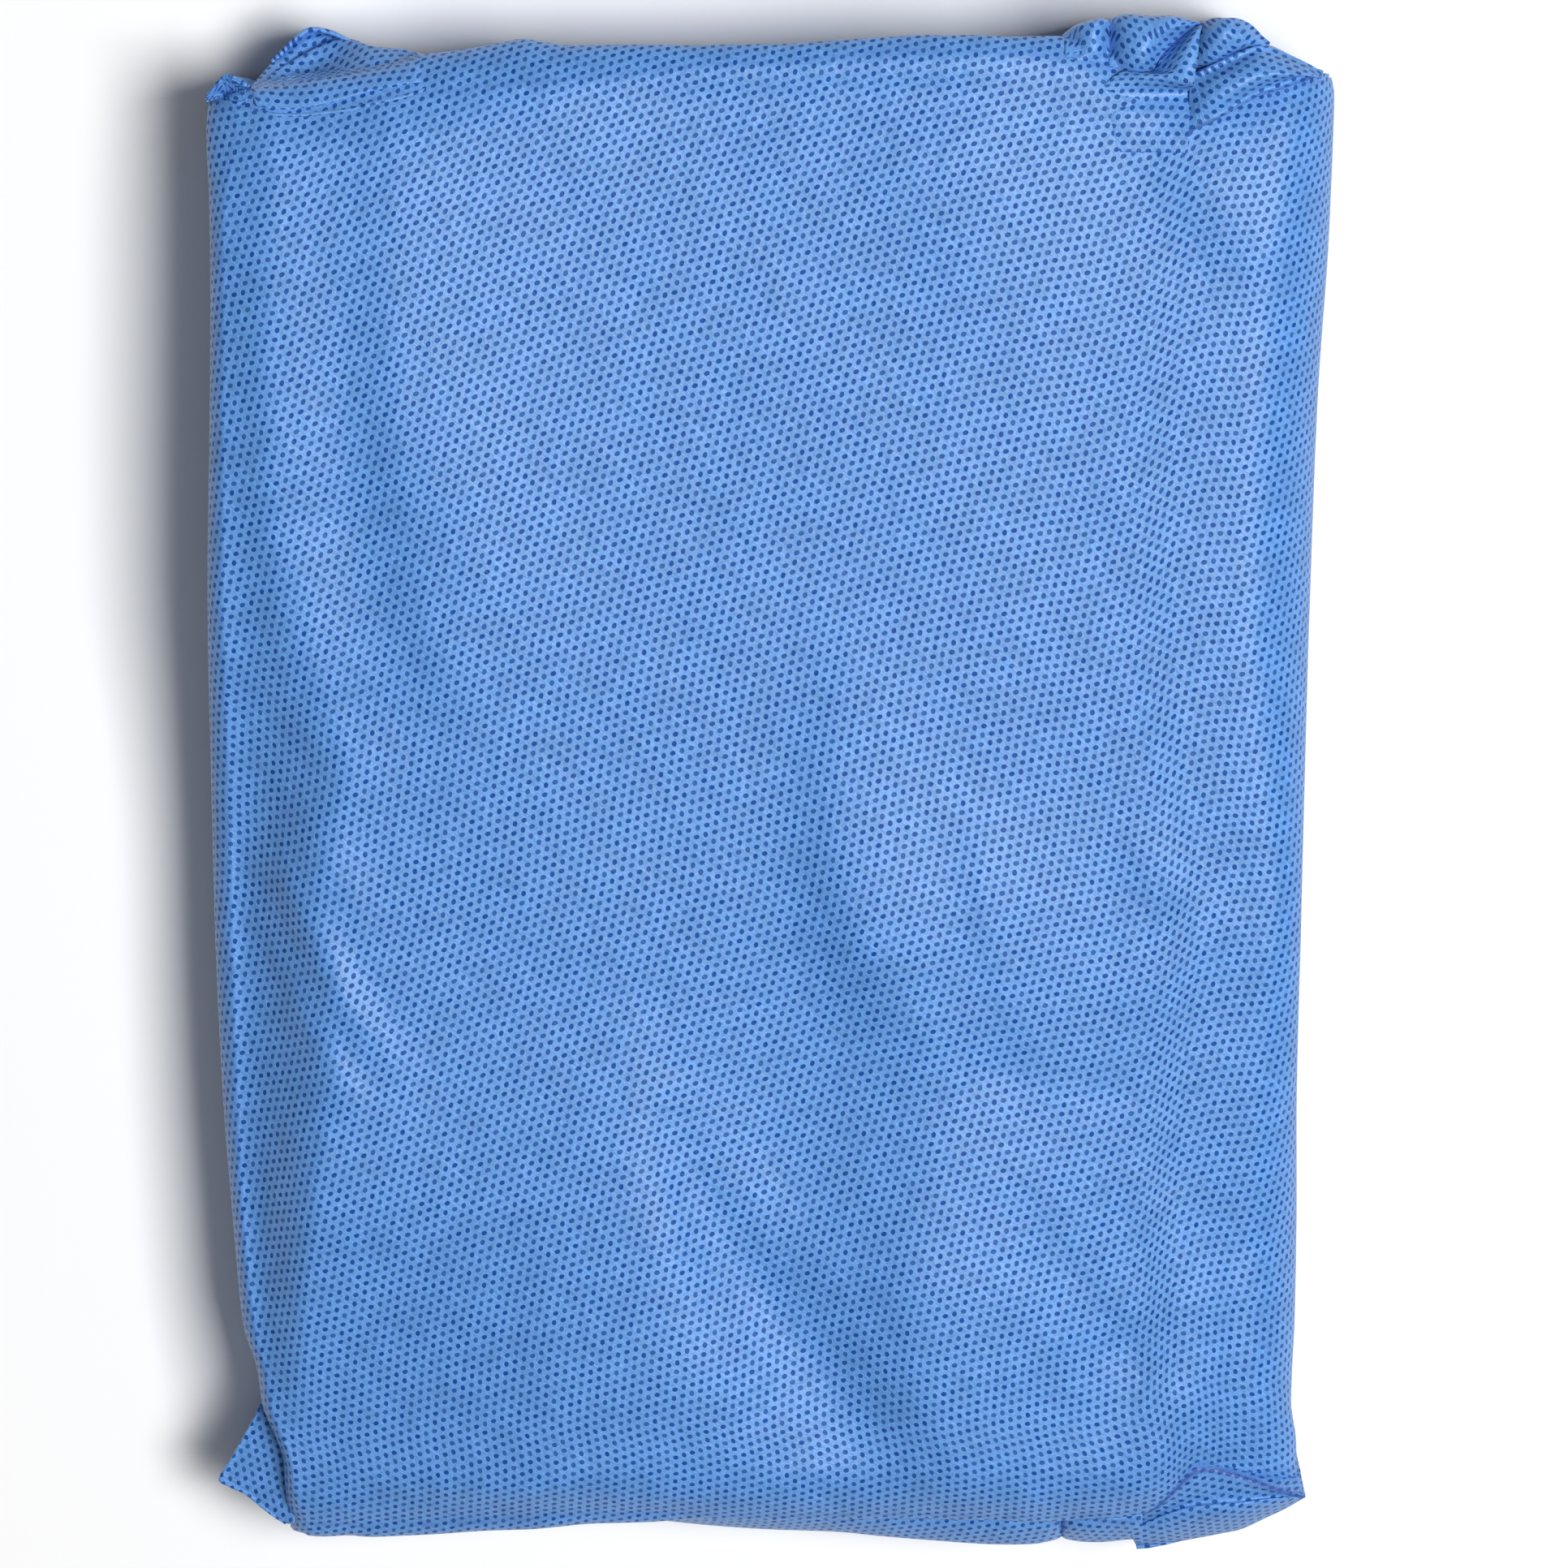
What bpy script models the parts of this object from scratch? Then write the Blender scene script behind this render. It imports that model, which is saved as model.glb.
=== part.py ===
"""A surgical gown folded into a flat pack, wrapped in its own nonwoven cloth.

The pack lies on its flat underside. X runs across it, Y along it towards the
pleated end, and Z up. The origin is under its middle, on the surface it rests
on. Sizes are in millimetres and are turned into metres where meshes are made.
"""
import bpy
import bmesh
from collections import namedtuple
from math import cos, exp, hypot, pi, sin, sqrt
from mathutils import Vector

MM = 0.001
CLOTH = 1.2
GAP = 0.3
MOVED_OUT = CLOTH + GAP
FACE_HEIGHT = 34.5
FOOT = 4.0
LEFT_CORNER = -80.0
RIGHT_BEND = 78.0
RIGHT_CORNER = 84.0
CLEAR_OF_FLOOR = 0.4

# The underside closes with a lap, whose inner run lies on the outer one.
LAP_OUTER_END = 20.0
LAP_INNER_END = -12.0
LAP_RAMP = 3.0

# The face rolls down before it reaches the crease at each end.
BOTTOM_ROLL = 11.0
BOTTOM_DROP = 3.9
TOP_ROLL = 7.0
TOP_DROP = 1.2
LEFT_RISE = 45.0
RIGHT_FALL = 50.0

STATIONS = 19
STATION_CROWDING = 0.7
FACE_COLUMNS = 19
FACE_CROWDING = 1.8
LEFT_COLUMNS = 9
RIGHT_COLUMNS = 11
WALL_STRAIGHT = 0.6
RIGHT_ARC = 0.42
RIGHT_STRAIGHT = 0.62

LAYERS = 6
LAYER_GROOVE = 1.3
LAYER_LEVELS = 3
CORE_BELOW_STEP = 3.4

END_COLUMNS = 26
END_ROWS = 8
END_ROUND = 0.38
END_ROUND_HEIGHT = 6.0
END_TUCK = 0.5

# Plan outline and edge heights of the wrapped pack, from its top end down.
# left, right: widest points of the sides. crease: the face's left fold.
# left_height, right_height: of the face at its two long edges.
# rounding: radius of the bend over the right side.
Section = namedtuple("Section", "y left crease left_height right right_height rounding")
SECTIONS = [
    Section(112, -84.8, -79.6, 31.0, 86.3, 30.5, 9.0),
    Section(104, -85.8, -80.8, 32.2, 86.4, 32.5, 11.0),
    Section(92, -85.6, -82.4, 33.0, 85.3, 33.4, 12.0),
    Section(62, -85.7, -82.9, 33.0, 84.3, 34.0, 12.5),
    Section(30, -86.3, -83.2, 31.5, 83.2, 34.0, 12.0),
    Section(5, -86.2, -82.8, 26.5, 82.8, 34.0, 9.0),
    Section(-15, -86.0, -82.5, 24.5, 82.5, 33.5, 6.0),
    Section(-45, -85.2, -82.2, 25.5, 82.3, 32.8, 8.0),
    Section(-70, -83.9, -81.0, 26.0, 82.3, 31.8, 10.0),
    Section(-92, -81.2, -78.2, 27.5, 81.9, 31.0, 9.0),
    Section(-104, -78.8, -75.6, 28.5, 82.0, 30.0, 7.5),
    Section(-118, -76.2, -72.8, 29.5, 82.4, 29.0, 6.5),
]

# The face steps down off the edge of the hidden layers at the lower left.
Step = namedtuple("Step", "y x width drop")
STEPS = [
    Step(45, -75.0, 12.0, 0.0),
    Step(30, -74.5, 12.0, 1.5),
    Step(14, -73.5, 11.0, 4.0),
    Step(1, -69.5, 13.0, 7.0),
    Step(-23, -71.5, 13.0, 8.5),
    Step(-42, -70.5, 10.0, 6.8),
    Step(-61, -71.0, 8.0, 7.0),
    Step(-79, -72.0, 7.0, 4.8),
    Step(-92, -71.5, 8.0, 2.2),
    Step(-106, -68.0, 9.0, 0.0),
]

# Where the face is creased over each end, and how far the end wall stands out.
EndEdge = namedtuple("EndEdge", "x crease wall")
TOP_EDGE = [
    EndEdge(-80, 108.8, 110.6),
    EndEdge(-70, 109.4, 112.0),
    EndEdge(-60, 110.0, 113.3),
    EndEdge(-52, 110.4, 114.4),
    EndEdge(-44, 111.6, 116.1),
    EndEdge(-38, 112.4, 117.3),
    EndEdge(-30, 113.0, 116.7),
    EndEdge(-20, 113.6, 116.6),
    EndEdge(-5, 114.8, 117.0),
    EndEdge(15, 116.2, 117.9),
    EndEdge(23, 116.4, 118.5),
    EndEdge(36, 116.0, 118.2),
    EndEdge(46, 115.0, 117.2),
    EndEdge(52, 114.2, 116.8),
    EndEdge(60, 112.8, 116.0),
    EndEdge(68, 111.2, 115.6),
    EndEdge(76, 111.0, 115.0),
    EndEdge(80, 111.0, 113.6),
    EndEdge(84.5, 110.2, 112.0),
]
BOTTOM_EDGE = [
    EndEdge(-73, -118.0, -119.8),
    EndEdge(-54, -117.0, -119.0),
    EndEdge(-43, -116.5, -118.3),
    EndEdge(-30, -115.6, -117.4),
    EndEdge(-16, -114.6, -116.6),
    EndEdge(15, -113.9, -116.2),
    EndEdge(36, -114.1, -117.0),
    EndEdge(48, -114.0, -117.0),
    EndEdge(60, -112.8, -116.6),
    EndEdge(68, -110.6, -116.0),
    EndEdge(76, -110.2, -114.8),
    EndEdge(82, -109.6, -112.2),
]

# Ridges and troughs of the face. height is negative in a trough.
Fold = namedtuple("Fold", "x0 y0 x1 y1 width height")
FOLDS = [
    Fold(-24, -44, 8, -104, 8.0, 1.1),
    Fold(-10, -58, 32, -106, 9.0, -1.1),
    Fold(34, -62, 52, -102, 15.0, 0.9),
    Fold(20, 14, 28, -34, 13.0, 0.6),
    Fold(-52, 88, -44, 10, 12.0, 0.6),
    Fold(-76, 8, -58, -22, 4.0, 0.5),
]

# Pleats that stand out from an end wall, as shares of its height downwards.
# peak: where along the pleat it is deepest. layers: thicknesses that it lies on.
Pleat = namedtuple("Pleat", "name x0 x1 peak depth top bottom layers")
TOP_PLEATS = [
    Pleat("top_left_lobe", -77.6, -52.4, 0.30, 5.2, 0.05, 0.93, 1),
    Pleat("top_right_pleat_1", 43.4, 51.2, 0.72, 2.9, 0.06, 0.92, 1),
    Pleat("top_right_pleat_2", 51.8, 65.0, 0.40, 4.2, 0.06, 0.94, 1),
    Pleat("top_right_pleat_3", 66.0, 76.4, 0.35, 2.9, 0.10, 0.90, 2),
]
BOTTOM_PLEATS = [
    Pleat("bottom_lower_flap", -16.0, 46.2, 0.82, 3.2, 0.30, 0.97, 1),
    Pleat("bottom_lower_pleat", 46.8, 63.4, 0.62, 3.6, 0.28, 0.97, 1),
]
PLEAT_COLUMNS = 10
PLEAT_ROWS = 8
PLEAT_FULLEST = 0.28
PLEAT_FOOT = 0.25
TOP_OUTWARD = Vector((0.0, 0.94, 0.34))
BOTTOM_OUTWARD = Vector((0.0, -0.98, 0.17))

# Corner pieces: sections of their cloth in rows from top to bottom.
CORNER_COLUMNS = 10
CORNER_ROWS = 10

FLAP_LEFT = 50.4
FLAP_RIGHT = 63.4
FLAP_LOWER_EDGE = 101.7
FLAP_COLUMNS = 6
FLAP_ROWS = 6

Cloth = namedtuple("Cloth", "name colour roughness")
FACE_CLOTH = Cloth("gown_cloth", (0.155, 0.330, 0.700), 0.62)
INNER_CLOTH = Cloth("inner_cloth", (0.130, 0.285, 0.620), 0.70)


def clear_scene():
    for item in list(bpy.data.objects):
        bpy.data.objects.remove(item)


def make_material(cloth):
    material = bpy.data.materials.new(cloth.name)
    material.use_nodes = True
    shader = material.node_tree.nodes["Principled BSDF"]
    shader.inputs["Base Color"].default_value = (*cloth.colour, 1.0)
    shader.inputs["Roughness"].default_value = cloth.roughness
    shader.inputs["Metallic"].default_value = 0.0
    return material


def mix(a, b, share):
    return a + (b - a) * share


def ease(share):
    share = min(1.0, max(0.0, share))
    return share * share * (3.0 - 2.0 * share)


def read(table, column, at):
    """The value of a table's column at a place along its first column, without overshoot."""
    rows = sorted(table, key=lambda row: row[0])
    at = min(max(at, rows[0][0]), rows[-1][0])
    places = [row[0] for row in rows]
    values = [getattr(row, column) for row in rows]
    steps = [(values[i + 1] - values[i]) / (places[i + 1] - places[i]) for i in range(len(rows) - 1)]
    slopes = [steps[0]]
    for before, after in zip(steps, steps[1:]):
        slopes.append(0.0 if before * after <= 0 else 2 * before * after / (before + after))
    slopes.append(steps[-1])
    i = max(j for j in range(len(rows) - 1) if places[j] <= at)
    span = places[i + 1] - places[i]
    t = (at - places[i]) / span
    return (
        values[i] * (1 + 2 * t) * (1 - t) ** 2
        + values[i + 1] * t * t * (3 - 2 * t)
        + slopes[i] * span * t * (1 - t) ** 2
        - slopes[i + 1] * span * t * t * (1 - t)
    )


def fold_height(x, y):
    total = 0.0
    for fold in FOLDS:
        length = hypot(fold.x1 - fold.x0, fold.y1 - fold.y0)
        along_x = (fold.x1 - fold.x0) / length
        along_y = (fold.y1 - fold.y0) / length
        along = ((x - fold.x0) * along_x + (y - fold.y0) * along_y) / length
        across = (y - fold.y0) * along_x - (x - fold.x0) * along_y
        if 0.0 < along < 1.0:
            total += fold.height * sin(pi * along) ** 2 * exp(-((across / fold.width) ** 2))
    return total


def end_rolls(x, y):
    """How far the face drops towards the creases at its two ends."""
    from_bottom = y - read(BOTTOM_EDGE, "crease", x)
    from_top = read(TOP_EDGE, "crease", x) - y
    bottom = BOTTOM_DROP * max(0.0, 1 - max(0.0, from_bottom) / BOTTOM_ROLL) ** 2
    top = TOP_DROP * max(0.0, 1 - max(0.0, from_top) / TOP_ROLL) ** 2
    return bottom + top


def face_height(x, y):
    """Height of the face's outside, between its left crease and its right bend."""
    left = read(SECTIONS, "left_height", y)
    right = read(SECTIONS, "right_height", y)
    bend = read(SECTIONS, "right", y) - read(SECTIONS, "rounding", y)
    drop = read(STEPS, "drop", y)
    step = read(STEPS, "x", y)
    width = read(STEPS, "width", y)
    height = left + drop * ease((x - step) / width + 0.5)
    height += (FACE_HEIGHT - left - drop) * ease((x - step) / LEFT_RISE)
    height += (right - FACE_HEIGHT) * ease((x - bend + RIGHT_FALL) / RIGHT_FALL)
    return height + fold_height(x, y) - end_rolls(x, y)


def top_height(x, y):
    """Height of the pack's outside, the bend over the right side included."""
    rounding = read(SECTIONS, "rounding", y)
    bend = read(SECTIONS, "right", y) - rounding
    if x <= bend:
        return face_height(x, y)
    past = min(x - bend, rounding)
    return face_height(bend, y) - rounding + sqrt(rounding**2 - past**2)


def left_side(y, share):
    """A point of the left side, from the crease, 0, to the underside, 1."""
    left = read(SECTIONS, "left", y)
    crease = read(SECTIONS, "crease", y)
    top = face_height(crease, y)
    if share < WALL_STRAIGHT:
        up = 1 - share / WALL_STRAIGHT
        return Vector((left + (crease - left) * up**2.2, y, mix(FOOT, top, up)))
    angle = (share - WALL_STRAIGHT) / (1 - WALL_STRAIGHT) * pi / 2
    return Vector((left + FOOT * (1 - cos(angle)), y, FOOT * (1 - sin(angle))))


def right_side(y, share):
    """A point of the right side, from the start of its bend, 0, to the underside, 1."""
    right = read(SECTIONS, "right", y)
    rounding = read(SECTIONS, "rounding", y)
    top = face_height(right - rounding, y)
    if share < RIGHT_ARC:
        angle = share / RIGHT_ARC * pi / 2
        return Vector((right - rounding * (1 - sin(angle)), y, top - rounding * (1 - cos(angle))))
    if share < RIGHT_STRAIGHT:
        down = (share - RIGHT_ARC) / (RIGHT_STRAIGHT - RIGHT_ARC)
        return Vector((right, y, mix(top - rounding, FOOT, down)))
    angle = (share - RIGHT_STRAIGHT) / (1 - RIGHT_STRAIGHT) * pi / 2
    return Vector((right - FOOT * (1 - cos(angle)), y, FOOT * (1 - sin(angle))))


def crowd_left(share):
    """Columns of the face crowd towards the step on its left."""
    return share**FACE_CROWDING


def crowd_ends(share):
    """Stations along the pack crowd towards its two ends."""
    return mix(share, ease(share), STATION_CROWDING)


def panel_columns():
    """The outer panel's columns, as (stretch, share), from its outer lap round to its inner one."""
    columns = [("under_left", share) for share in (0.0, 0.35, 0.7)]
    columns += [("left", 1 - i / LEFT_COLUMNS) for i in range(LEFT_COLUMNS)]
    columns += [("face", crowd_left(i / FACE_COLUMNS)) for i in range(FACE_COLUMNS)]
    columns += [("right", i / RIGHT_COLUMNS) for i in range(RIGHT_COLUMNS + 1)]
    columns += [("under_right", share) for share in (0.3, 0.6, 0.9, 1.0)]
    columns += [("lap", 0.0), ("lap", 0.5), ("lap", 1.0)]
    return columns


def panel_point(stretch, share, along):
    """A point of the outer panel; along runs from the bottom end, 0, to the top end, 1."""
    inset = 3 * GAP if stretch == "face" else 5 * GAP
    across = {
        "under_left": mix(LAP_OUTER_END, LEFT_CORNER, share),
        "left": LEFT_CORNER,
        "face": mix(LEFT_CORNER, RIGHT_BEND, share),
        "right": mix(RIGHT_BEND, RIGHT_CORNER, share),
        "under_right": mix(RIGHT_CORNER, LAP_OUTER_END, share),
        "lap": mix(LAP_OUTER_END, LAP_INNER_END, share),
    }[stretch]
    low = read(BOTTOM_EDGE, "crease", across) + inset
    high = read(TOP_EDGE, "crease", across) - inset
    y = mix(low, high, along)
    if stretch == "left":
        return left_side(y, share)
    if stretch == "right":
        return right_side(y, share)
    if stretch == "face":
        crease = read(SECTIONS, "crease", y)
        bend = read(SECTIONS, "right", y) - read(SECTIONS, "rounding", y)
        x = mix(crease, bend, share)
        return Vector((x, y, face_height(x, y)))
    if stretch == "under_left":
        return Vector((mix(LAP_OUTER_END, left_side(y, 1.0).x, share), y, 0.0))
    if stretch == "under_right":
        return Vector((mix(right_side(y, 1.0).x, LAP_OUTER_END + LAP_RAMP, share), y, 0.0))
    return Vector((mix(LAP_OUTER_END + GAP, LAP_INNER_END, share), y, MOVED_OUT))


def end_point(edge, x, down):
    """A point of an end wall's outside, from the face's crease, 0, down to the surface, 1."""
    outward = 1.0 if edge is TOP_EDGE else -1.0
    crease = read(edge, "crease", x)
    stands_out = read(edge, "wall", x) - crease
    top = top_height(x, crease)
    if down < END_ROUND:
        angle = down / END_ROUND * pi / 2
        drop = END_ROUND_HEIGHT * (1 - cos(angle))
        return Vector((x, crease + stands_out * sin(angle), top - drop))
    below = (down - END_ROUND) / (1 - END_ROUND)
    y = crease + stands_out - outward * END_TUCK * below**2
    return Vector((x, y, mix(top - END_ROUND_HEIGHT, CLEAR_OF_FLOOR, below)))


def end_normal(edge, x, down):
    reach = 0.02
    lower = min(1.0, down + reach)
    upper = max(0.0, down - reach)
    along = end_point(edge, x + 1.0, down) - end_point(edge, x - 1.0, down)
    downward = end_point(edge, x, lower) - end_point(edge, x, upper)
    normal = downward.cross(along).normalized()
    return -normal if edge is TOP_EDGE else normal


def moved_out(edge, x, down, distance):
    return end_point(edge, x, down) + end_normal(edge, x, down) * distance


def make_sheet(name, grid, material, outward, even=True):
    """A cloth piece: a grid of points of its outside, thickened inwards by the wall."""
    rows = len(grid)
    columns = len(grid[0])
    bm = bmesh.new()
    verts = [[bm.verts.new(point * MM) for point in row] for row in grid]
    for i in range(rows - 1):
        for j in range(columns - 1):
            bm.faces.new((verts[i][j], verts[i + 1][j], verts[i + 1][j + 1], verts[i][j + 1]))
    bm.normal_update()
    middle = bm.faces[:][(rows // 2) * (columns - 1) + columns // 2]
    if middle.normal.dot(Vector(outward)) < 0:
        bmesh.ops.reverse_faces(bm, faces=bm.faces[:])
    item = finish_object(name, bm, material)
    wall = item.modifiers.new("cloth wall", "SOLIDIFY")
    wall.thickness = CLOTH * MM
    wall.offset = -1.0
    wall.use_even_offset = even
    return item


def finish_object(name, bm, material):
    mesh = bpy.data.meshes.new(name)
    bm.to_mesh(mesh)
    bm.free()
    mesh.shade_smooth()
    mesh.set_sharp_from_angle(angle=pi / 4)
    mesh.materials.append(material)
    item = bpy.data.objects.new(name, mesh)
    bpy.context.collection.objects.link(item)
    return item


def along_points(points, share):
    """A place on a smooth curve through a few points, at a share of the way."""
    place = share * (len(points) - 1)
    i = min(int(place), len(points) - 2)
    t = place - i
    before = points[max(i - 1, 0)]
    after = points[min(i + 2, len(points) - 1)]
    here, there = points[i], points[i + 1]
    start = (there - before) * 0.5
    stop = (after - here) * 0.5
    return (
        here * (1 + 2 * t) * (1 - t) ** 2
        + there * t * t * (3 - 2 * t)
        + start * t * (1 - t) ** 2
        - stop * t * t * (1 - t)
    )


def smooth_grid(rows, row_count, column_count):
    """A finer grid on the smooth surface through a few rows of points."""
    wide = [[along_points(row, j / column_count) for j in range(column_count + 1)] for row in rows]
    columns = list(zip(*wide))
    fine = [[along_points(column, i / row_count) for i in range(row_count + 1)] for column in columns]
    return [list(row) for row in zip(*fine)]


def build_outer_panel(material):
    columns = panel_columns()
    grid = []
    for i in range(STATIONS):
        along = crowd_ends(i / (STATIONS - 1))
        grid.append([panel_point(stretch, share, along) for stretch, share in columns])
    return make_sheet("outer_panel", grid, material, (0, 0, 1))


def core_point(across, along, down):
    """A point on the folded layers, whose edges are grooved between the layers."""
    groove = LAYER_GROOVE * (1 - sqrt(abs(sin(LAYERS * pi * down))))
    end_x = mix(LEFT_CORNER, RIGHT_CORNER, across)
    low = read(BOTTOM_EDGE, "crease", end_x) + 2 * MOVED_OUT + groove
    high = read(TOP_EDGE, "crease", end_x) - 2 * MOVED_OUT - groove
    y = mix(low, high, along)
    inside = MOVED_OUT + 4 * GAP + groove
    wall_share = mix(0.12, 0.72, down)
    left = left_side(y, wall_share).x + inside
    right = right_side(y, wall_share).x - inside
    x = mix(left, right, across)
    slope_x = top_height(x + 0.5, y) - top_height(x - 0.5, y)
    slope_y = top_height(x, y + 0.5) - top_height(x, y - 0.5)
    steep = min(2.0, sqrt(1 + slope_x**2 + slope_y**2))
    top = top_height(x, y) - (MOVED_OUT + GAP) * steep - CORE_BELOW_STEP * (steep - 1)
    return Vector((x, y, mix(top, CLOTH + MOVED_OUT + GAP, down)))


def build_folded_layers(material):
    levels = LAYERS * LAYER_LEVELS
    last_row = STATIONS - 1
    bm = bmesh.new()
    verts = {}

    def vert(i, j, k):
        if (i, j, k) not in verts:
            point = core_point(crowd_left(i / FACE_COLUMNS), crowd_ends(j / last_row), k / levels)
            verts[i, j, k] = bm.verts.new(point * MM)
        return verts[i, j, k]

    for i in range(FACE_COLUMNS):
        for j in range(last_row):
            bm.faces.new((vert(i, j, 0), vert(i + 1, j, 0), vert(i + 1, j + 1, 0), vert(i, j + 1, 0)))
    rim = [(i, 0) for i in range(FACE_COLUMNS)]
    rim += [(FACE_COLUMNS, j) for j in range(last_row)]
    rim += [(i, last_row) for i in range(FACE_COLUMNS, 0, -1)]
    rim += [(0, j) for j in range(last_row, 0, -1)]
    for k in range(levels):
        for (i, j), (m, n) in zip(rim, rim[1:] + rim[:1]):
            bm.faces.new((vert(i, j, k + 1), vert(m, n, k + 1), vert(m, n, k), vert(i, j, k)))
    bm.faces.new([vert(i, j, levels) for i, j in reversed(rim)])
    bmesh.ops.recalc_face_normals(bm, faces=bm.faces[:])
    return finish_object("folded_layers", bm, material)


def build_end_wall(name, edge, material):
    first, last = edge[0].x, edge[-1].x
    grid = []
    for i in range(END_ROWS + 1):
        down = i / END_ROWS
        xs = [mix(first, last, j / END_COLUMNS) for j in range(END_COLUMNS + 1)]
        grid.append([end_point(edge, x, down) for x in xs])
    outward = (0, 1, 0) if edge is TOP_EDGE else (0, -1, 0)
    return make_sheet(name, grid, material, outward)


def pleat_depth(pleat, along, down):
    """How far a pleat stands off what it lies on."""
    if along < pleat.peak:
        swell = sin(pi / 2 * along / pleat.peak)
    else:
        swell = cos(pi / 2 * (along - pleat.peak) / (1 - pleat.peak))
    if down < PLEAT_FULLEST:
        fullness = sin(pi / 2 * down / PLEAT_FULLEST)
    else:
        fullness = mix(1.0, PLEAT_FOOT, ease((down - PLEAT_FULLEST) / (1 - PLEAT_FULLEST)))
    return pleat.depth * swell * fullness


def build_pleat(pleat, edge, material):
    outward = TOP_OUTWARD if edge is TOP_EDGE else BOTTOM_OUTWARD
    grid = []
    for i in range(PLEAT_ROWS + 1):
        share = i / PLEAT_ROWS
        down = mix(pleat.top, pleat.bottom, share)
        row = []
        for j in range(PLEAT_COLUMNS + 1):
            along = j / PLEAT_COLUMNS
            x = mix(pleat.x0, pleat.x1, along)
            base = moved_out(edge, x, down, pleat.layers * MOVED_OUT)
            row.append(base + outward * pleat_depth(pleat, along, share))
        grid.append(row)
    return make_sheet(pleat.name, grid, material, tuple(outward))


def build_top_left_ear(material):
    rows = [
        [(-82.6, 108.7, 30.6), (-82.3, 109.8, 30.9), (-81.6, 110.6, 31.0), (-80.8, 110.6, 30.8)],
        [(-84.9, 108.5, 28.0), (-84.4, 110.1, 28.4), (-82.3, 111.7, 28.6), (-80.6, 111.7, 28.2)],
        [(-85.8, 108.4, 20.0), (-85.1, 110.3, 20.0), (-82.8, 112.2, 20.0), (-80.5, 112.2, 20.0)],
        [(-85.7, 108.4, 9.0), (-85.0, 110.1, 9.0), (-82.8, 111.9, 9.0), (-80.5, 111.9, 9.0)],
        [(-83.4, 108.4, 0.6), (-83.2, 109.8, 0.6), (-82.0, 111.1, 0.6), (-80.5, 111.1, 0.6)],
    ]
    return build_corner("top_left_ear", rows, material, (-1, 1, 0))


def build_top_right_dog_ear(material):
    fold = [(64.4, 105.6), (70.8, 107.9), (76.6, 109.6), (81.0, 110.3), (84.4, 109.9)]
    rows = [[lifted(TOP_EDGE, x, y) for x, y in fold]]
    xs = [66.0, 71.6, 77.0, 81.4, 84.4]
    for down in (0.06, 0.20, 0.38, 0.66, 0.96):
        rows.append([tuple(moved_out(TOP_EDGE, x, down, MOVED_OUT + 0.2)) for x in xs])
    return build_corner("top_right_dog_ear", rows, material, (0, 1, 0.2))


def lifted(edge, x, y):
    """A point just above the pack's outside, on which a fold's edge lies."""
    crease = read(edge, "crease", x)
    on_face = min(y, crease) if edge is TOP_EDGE else max(y, crease)
    return (x, y, top_height(x, on_face) + MOVED_OUT + GAP)


def build_bottom_left_ear(material):
    rows = [
        [(-78.8, -99.0, 26.6), (-78.0, -105.6, 26.0), (-77.4, -110.8, 25.4), (-76.0, -115.0, 24.4), (-74.6, -118.6, 23.6)],
        [(-81.2, -99.0, 22.0), (-81.6, -105.6, 20.6), (-82.6, -110.8, 19.4), (-79.6, -115.2, 19.6), (-75.8, -119.4, 20.0)],
        [(-81.6, -99.0, 15.0), (-83.4, -105.2, 13.4), (-86.4, -110.9, 12.4), (-81.4, -115.4, 13.4), (-76.2, -119.8, 14.6)],
        [(-81.6, -99.0, 6.0), (-82.6, -105.4, 5.4), (-84.2, -110.8, 5.0), (-80.6, -115.0, 5.6), (-76.0, -119.4, 6.4)],
        [(-80.2, -99.0, 0.8), (-79.8, -105.6, 0.8), (-79.6, -110.6, 0.8), (-78.4, -114.4, 0.8), (-75.8, -118.6, 0.8)],
    ]
    return build_corner("bottom_left_ear", rows, material, (-1, -0.4, 0))


def build_bottom_right_fold(material):
    fold = [(64.8, -106.6), (69.2, -107.7), (74.2, -108.9), (79.2, -109.6), (83.2, -109.4)]
    rows = [[lifted(BOTTOM_EDGE, x, y) for x, y in fold]]
    xs = [64.8, 69.4, 74.2, 79.0, 82.0]
    for down in (0.06, 0.20, 0.38, 0.66, 0.96):
        rows.append([tuple(moved_out(BOTTOM_EDGE, x, down, MOVED_OUT + 0.2)) for x in xs])
    return build_corner("bottom_right_fold", rows, material, (0.2, -1, 0))


def build_corner(name, rows, material, outward):
    points = [[Vector(point) for point in row] for row in rows]
    grid = smooth_grid(points, CORNER_ROWS, CORNER_COLUMNS)
    return make_sheet(name, grid, material, outward, even=False)


def build_top_right_flap(material):
    """The piece with cut edges on the face, made from the face's points moved up."""
    grid = []
    for i in range(FLAP_ROWS + 1):
        row = []
        for j in range(FLAP_COLUMNS + 1):
            x = mix(FLAP_LEFT, FLAP_RIGHT, j / FLAP_COLUMNS)
            upper_edge = read(TOP_EDGE, "crease", x) - GAP
            y = mix(FLAP_LOWER_EDGE, upper_edge, i / FLAP_ROWS)
            row.append(Vector((x, y, top_height(x, y) + MOVED_OUT + 0.1)))
        grid.append(row)
    return make_sheet("top_right_flap", grid, material, (0, 0, 1))


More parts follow.
